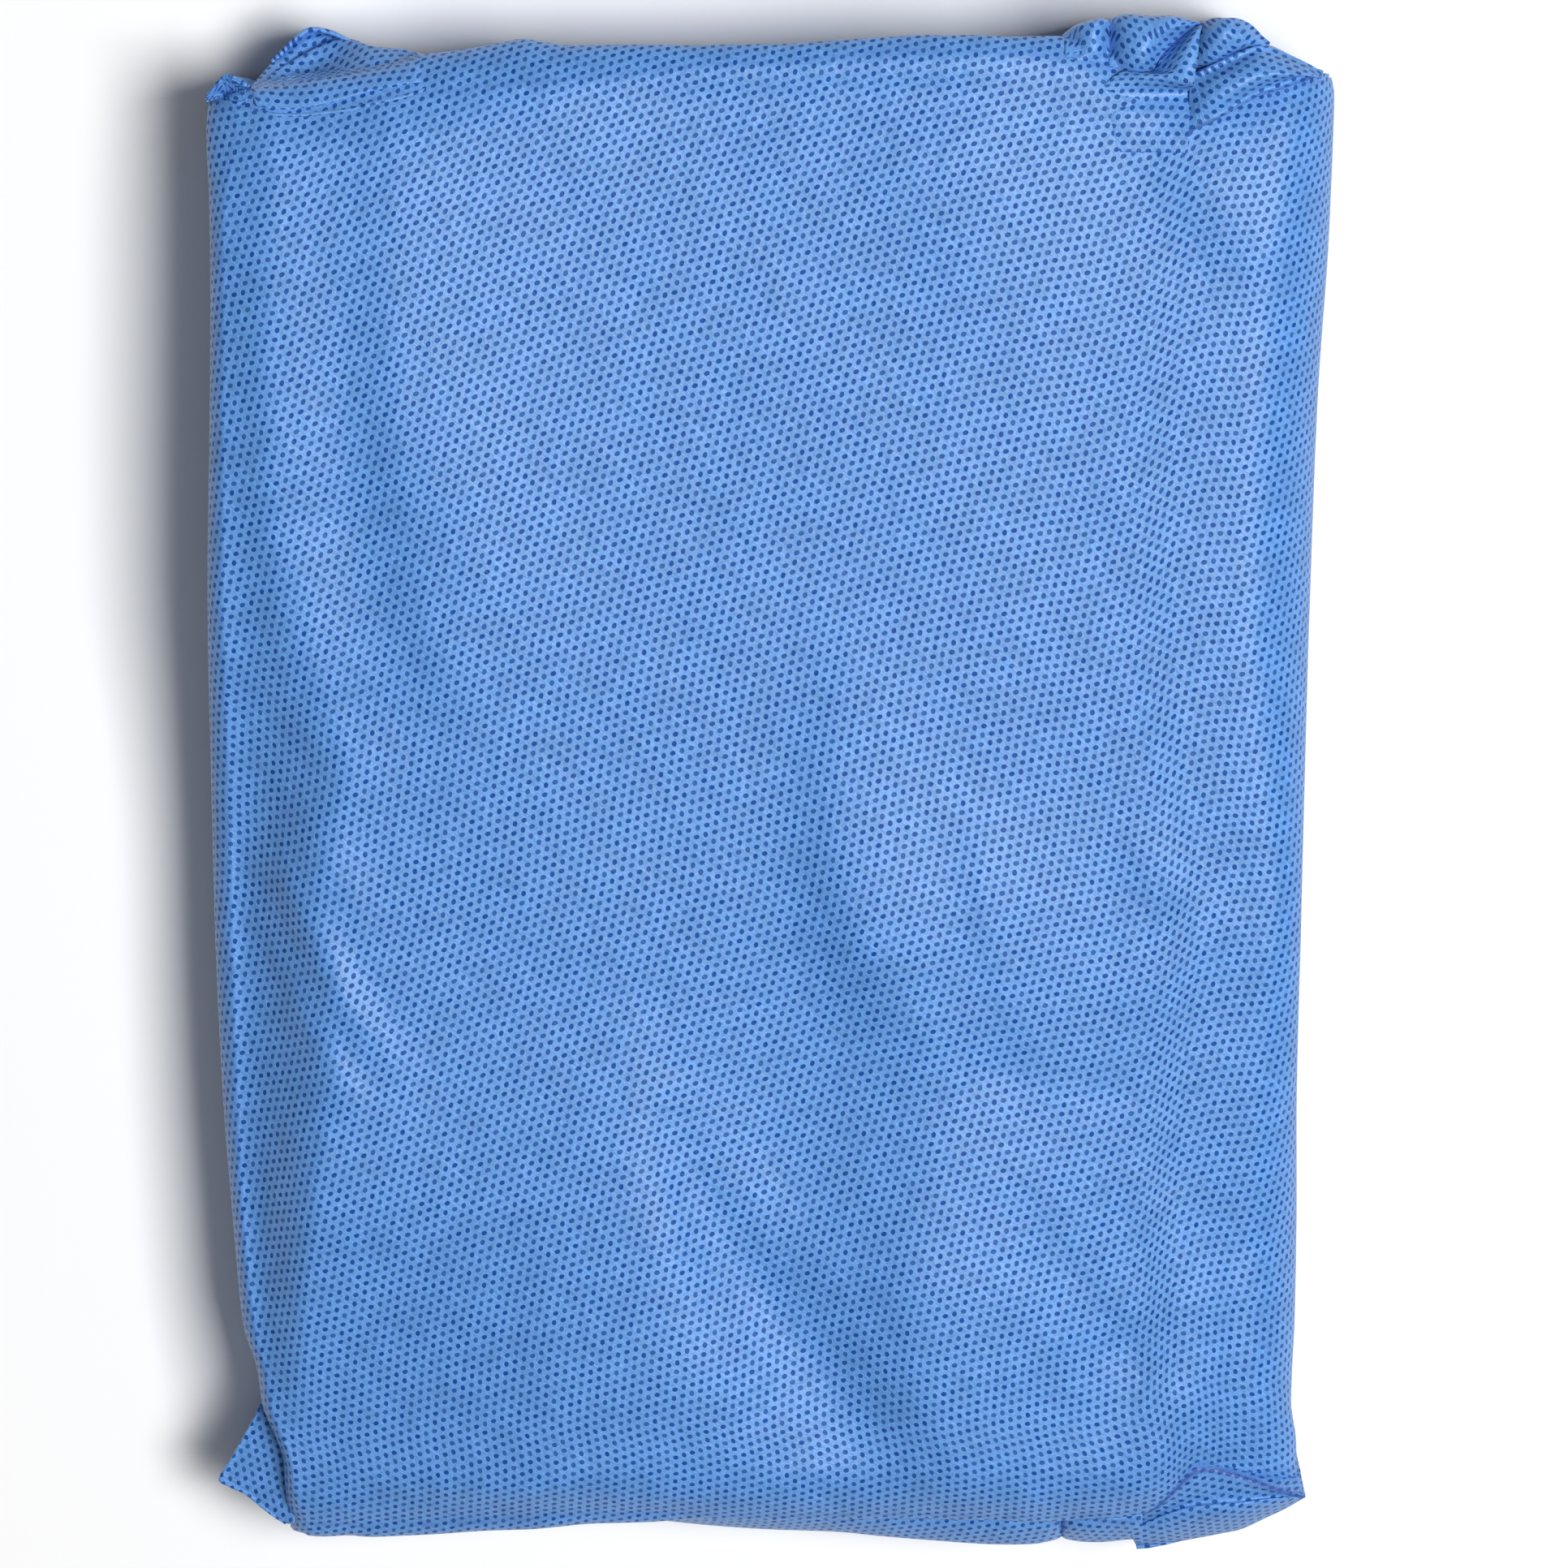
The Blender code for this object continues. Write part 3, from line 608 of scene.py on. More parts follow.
    def right_side(self, y: Array, share: Array) -> tuple[Array, Array]:
        """Points of the right side, from the start of its bend, 0, to the underside, 1.

        Args:
            y: Places along the pack.
            share: Shares of the way down the side.

        Returns:
            Their x and their height.
        """
        right = self.section("right", y)
        rounding = self.section("rounding", y)
        top = self.face(right - rounding, y)
        arc = np.clip(share / self.right_arc, 0.0, 1.0) * math.pi / 2
        down = np.clip((share - self.right_arc) / (self.right_straight - self.right_arc), 0.0, 1.0)
        foot = np.clip((share - self.right_straight) / (1 - self.right_straight), 0.0, 1.0) * math.pi / 2
        x = right - rounding * (1 - np.sin(arc)) - self.foot * (1 - np.cos(foot))
        z = top - rounding * (1 - np.cos(arc))
        z = mix(z, self.foot, down) - self.foot * np.sin(foot)
        return x, z

    def end_wall(self, end: End, x: Array, down: Array) -> Array:
        """Points of an end wall's outside.

        Args:
            end: Which end of the pack.
            x: Places across.
            down: Shares of the way down, from the face's crease, 0, to the surface, 1.

        Returns:
            Points, with x, y and z on the last axis.
        """
        x, down = np.broadcast_arrays(np.asarray(x, float), np.asarray(down, float))
        crease = self.edge(end, "crease", x)
        stands_out = self.edge(end, "wall", x) - crease
        drop = np.abs(stands_out) + self.end_more_drop
        lean = self.top_lean if end is End.TOP else self.bottom_lean
        out, fall = self.bevel(down / self.end_bevel)
        below = np.clip((down - self.end_bevel) / (1 - self.end_bevel), 0.0, 1.0)
        start = self.top(x, crease) - drop * fall
        z = mix(start, self.clear_of_floor, below)
        y = crease + stands_out * out - end.value * lean * (start - z)
        return np.stack([x, y, z], axis=-1)


@dataclass(frozen=True)
class BondedCloth:
    """Spunbond cloth: soft fibres with rows of small oval points bonded flat.

    Points alternate between an upright and a lying oval along both rows. Creases are drawn darker, partly in their
    own tint and partly as painted shade.
    """

    name: str
    fibre: tuple[float, float, float] = (0.112, 0.292, 0.660)
    point: tuple[float, float, float] = (0.010, 0.066, 0.310)
    # Colour painted along creases and fold edges: partly the crease's own tint, partly painted shade where folds
    # shade the cloth.
    crease: tuple[float, float, float] = (0.040, 0.095, 0.360)
    row_a: tuple[float, float] = (1.425, 0.399)
    row_b: tuple[float, float] = (-0.311, -1.476)
    upright_deg: float = 75.0
    lying_deg: float = 25.0
    half_long: float = 0.44
    half_short: float = 0.34
    roughness: float = 0.40
    point_roughness: float = 0.30
    sheen: float = 0.0
    gloss: float = 0.40
    point_gloss: float = 0.10

    def build(self) -> bpy.types.Material:
        """Make the node material.

        Returns:
            The material.
        """
        material = bpy.data.materials.new(self.name)
        material.use_nodes = True
        nodes = NodeDraft(material)
        place = nodes.cloth_place()
        mask, cell = self._points(nodes, place)
        fibre = self._fibre_colour(nodes, place)
        strength = nodes.remap(nodes.cell_noise(cell), 0.0, 1.0, 0.78, 1.0)
        weight = nodes.math("MULTIPLY", mask, strength)
        colour = nodes.blend(weight, fibre, self.point)
        # Darken towards the crease colour where the mesh's crease value is high: partly crease tint, partly painted
        # shade along creases and under fold edges.
        line = nodes.attribute("crease")
        colour = nodes.blend(nodes.math("MULTIPLY", line, 0.20), colour, self.crease)
        shader = nodes.shader
        nodes.link(colour, shader.inputs["Base Color"])
        rough = nodes.remap(mask, 0.0, 1.0, self.roughness, self.point_roughness)
        nodes.link(rough, shader.inputs["Roughness"])
        shader.inputs["Sheen Weight"].default_value = self.sheen
        shader.inputs["Sheen Roughness"].default_value = 0.45
        shader.inputs["Sheen Tint"].default_value = (0.85, 0.92, 1.0, 1.0)
        nodes.link(nodes.remap(mask, 0.0, 1.0, self.gloss, self.point_gloss), shader.inputs["Specular IOR Level"])
        nodes.link(self._bump(nodes, place, mask), shader.inputs["Normal"])
        return material

    def _points(self, nodes: NodeDraft, place: Socket) -> tuple[Socket, Socket]:
        """Draw the bond points.

        Args:
            nodes: The material's nodes.
            place: The place on the cloth, in millimetres.

        Returns:
            How far a place is in a point, from 0 to 1, and the point's own number.
        """
        (ax, ay), (bx, by) = self.row_a, self.row_b
        det = ax * by - ay * bx
        s = nodes.dot(place, (by / det, -bx / det, 0.0))
        t = nodes.dot(place, (-ay / det, ax / det, 0.0))
        near_s = nodes.math("ROUND", s)
        near_t = nodes.math("ROUND", t)
        off_s = nodes.math("SUBTRACT", s, near_s)
        off_t = nodes.math("SUBTRACT", t, near_t)
        x = nodes.math("ADD", nodes.math("MULTIPLY", off_s, ax), nodes.math("MULTIPLY", off_t, bx))
        y = nodes.math("ADD", nodes.math("MULTIPLY", off_s, ay), nodes.math("MULTIPLY", off_t, by))
        odd = nodes.math("FLOORED_MODULO", nodes.math("ADD", near_s, near_t), 2.0)
        offset = nodes.combine(x, y)
        sizes = []
        for degrees in (self.upright_deg, self.lying_deg):
            turn = math.radians(degrees)
            long_way = nodes.dot(offset, (math.cos(turn) / self.half_long, math.sin(turn) / self.half_long, 0.0))
            short_way = nodes.dot(offset, (-math.sin(turn) / self.half_short, math.cos(turn) / self.half_short, 0.0))
            sizes.append(nodes.length(long_way, short_way))
        size = nodes.blend_value(odd, sizes[0], sizes[1])
        return nodes.remap(size, 1.18, 0.80, 0.0, 1.0), nodes.combine(near_s, near_t)

    def _fibre_colour(self, nodes: NodeDraft, place: Socket) -> Socket:
        """Colour of the fibres: cloudy, mottled and scratched with pale threads.

        Args:
            nodes: The material's nodes.
            place: The place on the cloth, in millimetres.

        Returns:
            The colour.
        """
        cloud = nodes.noise(place, (0.16, 0.16), 3.0, 0.6)
        mottle = nodes.noise(place, (2.2, 2.2), 2.0, 0.6)
        thread = nodes.noise(nodes.turned(place, 42.0), (0.22, 4.5), 2.0, 0.5)
        tone = nodes.remap(cloud, 0.3, 0.7, 0.93, 1.06)
        tone = nodes.math("MULTIPLY", tone, nodes.remap(mottle, 0.25, 0.75, 0.88, 1.12))
        tick = nodes.noise(nodes.turned(place, -52.0), (1.1, 6.5), 1.0, 0.5)
        tone = nodes.math("MULTIPLY", tone, nodes.remap(thread, 0.56, 0.76, 1.0, 1.24))
        tone = nodes.math("MULTIPLY", tone, nodes.remap(tick, 0.62, 0.74, 1.0, 0.84))
        return nodes.scaled_colour(self.fibre, tone)

    def _bump(self, nodes: NodeDraft, place: Socket, mask: Socket) -> Socket:
        """Points pressed in, fibres raised unevenly.

        Args:
            nodes: The material's nodes.
            place: The place on the cloth, in millimetres.
            mask: How far a place is in a point.

        Returns:
            The normal.
        """
        fuzz = nodes.noise(place, (3.2, 3.2), 2.0, 0.6)
        thread = nodes.noise(nodes.turned(place, 40.0), (0.35, 6.0), 1.0, 0.5)
        soft = nodes.noise(place, (0.42, 0.42), 2.0, 0.5)
        height = nodes.math("MULTIPLY", mask, -0.075)
        height = nodes.math("ADD", height, nodes.math("MULTIPLY", fuzz, 0.045))
        height = nodes.math("ADD", height, nodes.math("MULTIPLY", thread, 0.035))
        height = nodes.math("ADD", height, nodes.math("MULTIPLY", soft, 0.16))
        return nodes.bump(height)


Socket = bpy.types.NodeSocket


class NodeDraft:
    """Short calls that add nodes to one material."""

    def __init__(self, material: bpy.types.Material) -> None:
        """Take hold of a material's node tree."""
        self.tree = material.node_tree
        self.shader = self.tree.nodes["Principled BSDF"]

    def add(self, kind: str) -> bpy.types.Node:
        """Add a node of a kind."""
        return self.tree.nodes.new(kind)

    def link(self, value: Socket | float | Sequence[float], target: Socket) -> None:
        """Link a socket to an input, or set the input to a plain value."""
        if isinstance(value, bpy.types.NodeSocket):
            self.tree.links.new(value, target)
        else:
            target.default_value = value

    def math(self, operation: str, a: Socket | float, b: Socket | float = 0.0) -> Socket:
        """Add a math node."""
        node = self.add("ShaderNodeMath")
        node.operation = operation
        self.link(a, node.inputs[0])
        self.link(b, node.inputs[1])
        return node.outputs[0]

    def dot(self, a: Socket, b: Sequence[float]) -> Socket:
        """Dot product of a vector with a plain one."""
        node = self.add("ShaderNodeVectorMath")
        node.operation = "DOT_PRODUCT"
        self.link(a, node.inputs[0])
        node.inputs[1].default_value = b
        return node.outputs["Value"]

    def combine(self, x: Socket, y: Socket) -> Socket:
        """Make a vector of two numbers."""
        node = self.add("ShaderNodeCombineXYZ")
        self.link(x, node.inputs[0])
        self.link(y, node.inputs[1])
        return node.outputs[0]

    def length(self, x: Socket, y: Socket) -> Socket:
        """Length of a vector of two numbers."""
        node = self.add("ShaderNodeVectorMath")
        node.operation = "LENGTH"
        self.link(self.combine(x, y), node.inputs[0])
        return node.outputs["Value"]

    def remap(self, value: Socket, low: float, high: float, to_low: float, to_high: float) -> Socket:
        """Map a range smoothly onto another, held at its ends."""
        node = self.add("ShaderNodeMapRange")
        node.interpolation_type = "SMOOTHSTEP"
        self.link(value, node.inputs["Value"])
        for name, number in (("From Min", low), ("From Max", high), ("To Min", to_low), ("To Max", to_high)):
            node.inputs[name].default_value = number
        return node.outputs["Result"]

    def blend(self, share: Socket, a: Socket | Sequence[float], b: Socket | Sequence[float]) -> Socket:
        """Blend two colours."""
        node = self.add("ShaderNodeMix")
        node.data_type = "RGBA"
        self.link(share, node.inputs["Factor"])
        for value, target in ((a, node.inputs[6]), (b, node.inputs[7])):
            self.link(value if isinstance(value, bpy.types.NodeSocket) else (*value, 1.0), target)
        return node.outputs[2]

    def blend_value(self, share: Socket, a: Socket, b: Socket) -> Socket:
        """Blend two numbers."""
        node = self.add("ShaderNodeMix")
        node.data_type = "FLOAT"
        self.link(share, node.inputs["Factor"])
        self.link(a, node.inputs[2])
        self.link(b, node.inputs[3])
        return node.outputs[0]

    def scaled_colour(self, colour: Sequence[float], tone: Socket) -> Socket:
        """A colour made lighter or darker by a tone round 1."""
        node = self.add("ShaderNodeVectorMath")
        node.operation = "SCALE"
        node.inputs[0].default_value = colour
        self.link(tone, node.inputs["Scale"])
        return node.outputs[0]

    def cloth_place(self) -> Socket:
        """The place on the cloth in millimetres, from the cloth's own map."""
        source = self.add("ShaderNodeUVMap")
        source.uv_map = "cloth"
        node = self.add("ShaderNodeVectorMath")
        node.operation = "SCALE"
        self.link(source.outputs["UV"], node.inputs[0])
        node.inputs["Scale"].default_value = 1.0 / UV_PER_MM
        return node.outputs[0]

    def turned(self, place: Socket, degrees: float) -> Socket:
        """A place turned by an angle, so that a pattern lies along it."""
        turn = math.radians(degrees)
        x = self.dot(place, (math.cos(turn), -math.sin(turn), 0.0))
        y = self.dot(place, (math.sin(turn), math.cos(turn), 0.0))
        return self.combine(x, y)

    def noise(self, place: Socket, per_mm: Sequence[float], detail: float, roughness: float) -> Socket:
        """Cloudy noise with its own scale each way."""
        scale = self.add("ShaderNodeVectorMath")
        scale.operation = "MULTIPLY"
        self.link(place, scale.inputs[0])
        scale.inputs[1].default_value = (per_mm[0], per_mm[1], 1.0)
        node = self.add("ShaderNodeTexNoise")
        node.noise_dimensions = "2D"
        self.link(scale.outputs[0], node.inputs["Vector"])
        node.inputs["Scale"].default_value = 1.0
        node.inputs["Detail"].default_value = detail
        node.inputs["Roughness"].default_value = roughness
        return node.outputs[0]

    def cell_noise(self, cell: Socket) -> Socket:
        """One chance number for each whole-numbered place."""
        node = self.add("ShaderNodeTexWhiteNoise")
        node.noise_dimensions = "2D"
        self.link(cell, node.inputs["Vector"])
        return node.outputs["Value"]

    def attribute(self, name: str) -> Socket:
        """A number that the mesh carries at its points."""
        node = self.add("ShaderNodeAttribute")
        node.attribute_name = name
        return node.outputs["Fac"]

    def bump(self, height: Socket) -> Socket:
        """A normal from a height in millimetres."""
        node = self.add("ShaderNodeBump")
        node.inputs["Strength"].default_value = 1.0
        node.inputs["Distance"].default_value = MM
        self.link(height, node.inputs["Height"])
        return node.outputs["Normal"]


@dataclass
class ClothGrid:
    """A grid of points on a cloth's outside, with what its material needs."""

    points: Array
    # Crease values darken the colour there: partly crease tint, partly painted shade.
    crease: Array | None = None
    grain_deg: float = 0.0
    shift: tuple[float, float] = (0.0, 0.0)
    kept: Array | None = None
    plan: bool = False

    def places(self) -> Array:
        """Lay the grid out flat, in millimetres.

        A corner piece keeps its place seen from above, but for its length along its
        columns. Other cloth is measured along its middle row and its columns.

        Returns:
            The flat place of each point.
        """
        points = self.points
        rows, columns = points.shape[:2]
        if self.plan:
            return self._places_from_above()
        across = np.linalg.norm(np.diff(points, axis=1), axis=-1)
        across = np.concatenate([np.zeros((rows, 1)), np.cumsum(across, axis=1)], axis=1)
        across -= across[:, columns // 2][:, None]
        along = np.linalg.norm(np.diff(points, axis=0), axis=-1)
        along = np.concatenate([np.zeros((1, columns)), np.cumsum(along, axis=0)], axis=0)
        along -= along[rows // 2][None, :]
        turn = math.radians(self.grain_deg)
        u = across * math.cos(turn) - along * math.sin(turn) + self.shift[0]
        v = across * math.sin(turn) + along * math.cos(turn) + self.shift[1]
        return np.stack([u, v], axis=-1)

    def _places_from_above(self) -> Array:
        """The flat places of a corner piece.

        Returns:
            The flat place of each point.
        """
        points = self.points
        run = points[len(points) // 2, -1] - points[len(points) // 2, 0]
        axis = 1 if abs(run[0]) >= abs(run[1]) else 0
        along = np.cumsum(np.linalg.norm(np.diff(points, axis=0), axis=-1), axis=0)
        along = np.concatenate([np.zeros((1, points.shape[1])), along], axis=0)
        middle = len(points) // 2
        sign = np.sign(points[middle, :, axis].mean() - points[0, :, axis].mean())
        flat = points[..., :2].copy()
        flat[..., axis] = points[0, :, axis] + sign * along
        turn = math.radians(self.grain_deg)
        u = flat[..., 0] * math.cos(turn) - flat[..., 1] * math.sin(turn)
        v = flat[..., 0] * math.sin(turn) + flat[..., 1] * math.cos(turn)
        return np.stack([u, v], axis=-1)

    def build(self, name: str, material: bpy.types.Material, outward: Sequence[float]) -> bpy.types.Object:
        """Make the thin cloth shell.

        Args:
            name: The piece's name.
            material: Its finish.
            outward: A direction out of the cloth at its middle.

        Returns:
            The new object.
        """
        points = self.points
        rows, columns = points.shape[:2]
        index = np.arange(rows * columns).reshape(rows, columns)
        a, b = index[:-1, :-1], index[1:, :-1]
        c, d = index[1:, 1:], index[:-1, 1:]
        quads = np.stack([a, b, c, d], axis=-1)
        middle = quads[rows // 2, columns // 2]
        flat = points.reshape(-1, 3)
        normal = np.cross(flat[middle[2]] - flat[middle[0]], flat[middle[3]] - flat[middle[1]])
        if np.dot(normal, outward) < 0:
            quads = quads[..., ::-1]
        if self.kept is not None:
            quads = quads[self.kept]
        quads = quads.reshape(-1, 4)
        used = np.unique(quads)
        renumber = np.zeros(len(flat), int)
        renumber[used] = np.arange(len(used))
        quads = renumber[quads]
        mesh = bpy.data.meshes.new(name)
        mesh.vertices.add(len(used))
        mesh.vertices.foreach_set("co", (flat[used] * MM).ravel())
        mesh.loops.add(quads.size)
        mesh.loops.foreach_set("vertex_index", quads.ravel())
        mesh.polygons.add(len(quads))
        mesh.polygons.foreach_set("loop_start", np.arange(0, quads.size, 4))
        mesh.update(calc_edges=True)
        mesh.shade_smooth()
        layer = mesh.uv_layers.new(name="cloth")
        places = self.places().reshape(-1, 2)[used] * UV_PER_MM
        layer.data.foreach_set("uv", places[quads.ravel()].ravel())
        # The crease values, stored on the mesh, darken the cloth's colour: partly crease tint, partly painted shade.
        crease = np.zeros(len(flat)) if self.crease is None else np.asarray(self.crease, float).ravel()
        attribute = mesh.attributes.new("crease", "FLOAT", "POINT")
        attribute.data.foreach_set("value", crease[used])
        mesh.materials.append(material)
        mesh.validate()
        item = bpy.data.objects.new(name, mesh)
        bpy.context.collection.objects.link(item)
        wall = item.modifiers.new("cloth", "SOLIDIFY")
        wall.thickness = CLOTH_MM * MM
        wall.offset = -1.0
        return item


def hand_over(item: bpy.types.Object, nodes: Sequence[str]) -> None:
    """Attach a cloth piece to the body and hide the solids that it stands for.

    Args:
        item: The cloth piece.
        nodes: The solids that it stands for.
    """
    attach(item, BODY)
    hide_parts(*nodes)


@dataclass
class OuterWrap:
    """The sheet that goes round the pack and down over both its ends."""

    form: PackForm
    stations: int = 150
    face_columns: int = 132
    left_columns: int = 22
    right_columns: int = 30
    under_columns: int = 8
    lap_columns: int = 4
    wall_rows: int = 22
    lap_outer_end: float = 20.0
    lap_inner_end: float = -12.0
    lap_ramp: float = 3.0
    lap_height: float = 0.9
    left_corner: float = -80.0
    right_bend: float = 78.0
    right_corner: float = 84.0
    side_inset: float = 0.6
    side_end_lean: float = 0.20
    lean_start: float = 0.93
    bend_end: float = 0.8
    corner_reach: float = 3.8
    corner_lean: float = 0.12

    def columns(self) -> list[tuple[Stretch, float]]:
        """The wrap's columns, as a stretch and a share of it."""
        left = [(Stretch.LEFT, 1 - i / self.left_columns) for i in range(self.left_columns)]
        face = [(Stretch.FACE, (i / self.face_columns) ** 1.15) for i in range(self.face_columns)]
        right = [(Stretch.RIGHT, i / self.right_columns) for i in range(self.right_columns + 1)]
        under_left = [(Stretch.UNDER_LEFT, i / self.under_columns) for i in range(self.under_columns)]
        under_right = [(Stretch.UNDER_RIGHT, (i + 1) / self.under_columns) for i in range(self.under_columns)]
        lap = [(Stretch.LAP, i / self.lap_columns) for i in range(self.lap_columns + 1)]
        return under_left + left + face + right + under_right + lap

    def across(self, stretch: Stretch, share: Array) -> Array:
        """Rough place across the pack of columns, where their ends are read."""
        spans = {
            Stretch.UNDER_LEFT: (self.lap_outer_end, self.left_corner),
            Stretch.LEFT: (self.left_corner, self.left_corner),
            Stretch.FACE: (self.left_corner, self.right_bend),
            Stretch.RIGHT: (self.right_bend, self.right_corner),
            Stretch.UNDER_RIGHT: (self.right_corner, self.lap_outer_end),
            Stretch.LAP: (self.lap_outer_end, self.lap_inner_end),
        }
        return mix(*spans[stretch], share)

    def tube_columns(self, stretch: Stretch, share: Array, along: Array) -> Array:
        """The wrap's columns in one stretch, from the bottom crease to the top crease.

        Args:
            stretch: The stretch.
            share: Each column's share of it.
            along: Shares of the way along the pack.

        Returns:
            Points, first along the pack and then across.
        """
        form = self.form
        x_end = self.across(stretch, share)
        inset = 0.0 if stretch is Stretch.FACE else self.side_inset
        low = form.edge(End.BOTTOM, "crease", x_end) + inset
        high = form.edge(End.TOP, "crease", x_end) - inset
        y = mix(low, high, along[:, None])
        share = np.broadcast_to(share, y.shape)
        if stretch is Stretch.FACE:
            bend = form.section("right", y) - form.section("rounding", y)
            x = mix(form.section("crease", y), bend, share)
            z = form.face(x, y)
        elif stretch is Stretch.LEFT:
            x, z = form.left_side(y, share)
        elif stretch is Stretch.RIGHT:
            x, z = form.right_side(y, share)
        elif stretch is Stretch.UNDER_LEFT:
            x = mix(self.lap_outer_end, form.left_side(y, np.ones_like(y))[0], share)
            z = np.zeros_like(y)
        elif stretch is Stretch.UNDER_RIGHT:
            x = mix(form.right_side(y, np.ones_like(y))[0], self.lap_outer_end + self.lap_ramp, share)
            z = np.zeros_like(y)
        else:
            x = np.broadcast_to(mix(self.lap_outer_end + 0.5, self.lap_inner_end, share), y.shape)
            z = np.full_like(y, self.lap_height)
        if stretch is not Stretch.FACE:
            on_left = stretch in (Stretch.UNDER_LEFT, Stretch.LEFT)
            start = form.section("left_height", y) - form.left_drop
            start = start if on_left else form.section("right_height", y) - form.section("rounding", y)
            lean = self.side_end_lean * ease((along[:, None] - self.lean_start) / (1 - self.lean_start))
            y = y - lean * np.maximum(0.0, start - z)
            if stretch is Stretch.RIGHT:
                below_bend = ease((share / form.right_arc - self.bend_end) / (1 - self.bend_end))
                reach = self.corner_reach * below_bend - self.corner_lean * np.maximum(0.0, start - z)
                y = y - reach * ease(1 - along[:, None] / (1 - self.lean_start))
        return np.stack([x, y, z], axis=-1)

    def build(self, material: bpy.types.Material) -> bpy.types.Object:
        """Build the wrap and hand it over.

        Args:
            material: The cloth's finish.

        Returns:
            The wrap.
        """
        columns = self.columns()
        share = np.linspace(0.0, 1.0, self.stations)
        along = mix(share, ease(share), 0.35)
        parts = []
        for stretch, group in groupby(columns, key=lambda column: column[0]):
            parts.append(self.tube_columns(stretch, np.array([part for _, part in group]), along))
        tube = np.concatenate(parts, axis=1)
        over = np.array([self.goes_over(stretch, part) for stretch, part in columns])
        top = self.end_rows(tube[-1], End.TOP)
        bottom = self.end_rows(tube[0], End.BOTTOM)[::-1]
        points = np.concatenate([bottom, tube, top], axis=0)
        kept = np.ones((len(points) - 1, len(columns) - 1), bool)
        between = over[:-1] & over[1:]
        kept[: self.wall_rows] = between
        kept[-self.wall_rows:] = between
        grid = ClothGrid(points, self.crease_tint_and_shade_lines(points, columns), kept=kept)
        item = grid.build("outer_wrap", material, (0, 0, 1))
        hand_over(item, ["outer_panel", "top_end_wall", "bottom_end_wall"])
        return item

    def goes_over(self, stretch: Stretch, share: float) -> bool:
        """Whether a column carries on down the end walls."""
        if stretch is Stretch.RIGHT:
            return share < self.form.right_arc * 0.8
        if stretch is Stretch.LEFT:
            return share < self.form.left_bevel * 1.1
        return stretch is Stretch.FACE

    def end_rows(self, edge_points: Array, end: End) -> Array:
        """Rows of an end wall below the crease, outermost last.

        Args:
            edge_points: The tube's points at the crease.
            end: Which end.

        Returns:
            The rows.
        """
        form = self.form
        x = edge_points[:, 0]
        rows = []
        for i in range(1, self.wall_rows + 1):
            down = i / self.wall_rows
            wall = form.end_wall(end, x, np.full_like(x, down))
            start = form.end_wall(end, x, np.zeros_like(x))
            rows.append(wall + (edge_points - start) * (1 - down))
        return np.stack(rows)

    def crease_tint_and_shade_lines(self, points: Array, columns: Sequence[tuple[Stretch, float]]) -> Array:
        """Where the cloth is creased and drawn darker, from 0 to 1: partly the crease's own tint, partly painted
        shade in the creases.

        Args:
            points: The grid.
            columns: Its columns.

        Returns:
            The crease tint and painted shade at each point.
        """
        crease = np.zeros(points.shape[:2])
        first_face = next(i for i, column in enumerate(columns) if column[0] is Stretch.FACE)
        crease[:, first_face] = 1.0
        crease[self.wall_rows] = 1.0
        crease[-self.wall_rows - 1] = 1.0
        return crease


class Net(NamedTuple):
    """A corner piece's shape, as rows of points from the face outwards.

    Laid rows lie on the wrap, so their third number is the distance off it. Free
    rows have real heights. The lean is how far the piece goes in, along and across,
    for each millimetre below its last free row; where it has none, it ends there.
    The pair after the lean gives the row that is creased and how much darker it is drawn: partly the crease's own
    tint, partly painted shade under the fold edge.
    """

    node: str
    outward: tuple[float, float, float]
    grain_deg: float
    lean: tuple[float, float]
    line: tuple[float, float]
    laid: tuple
    free: tuple
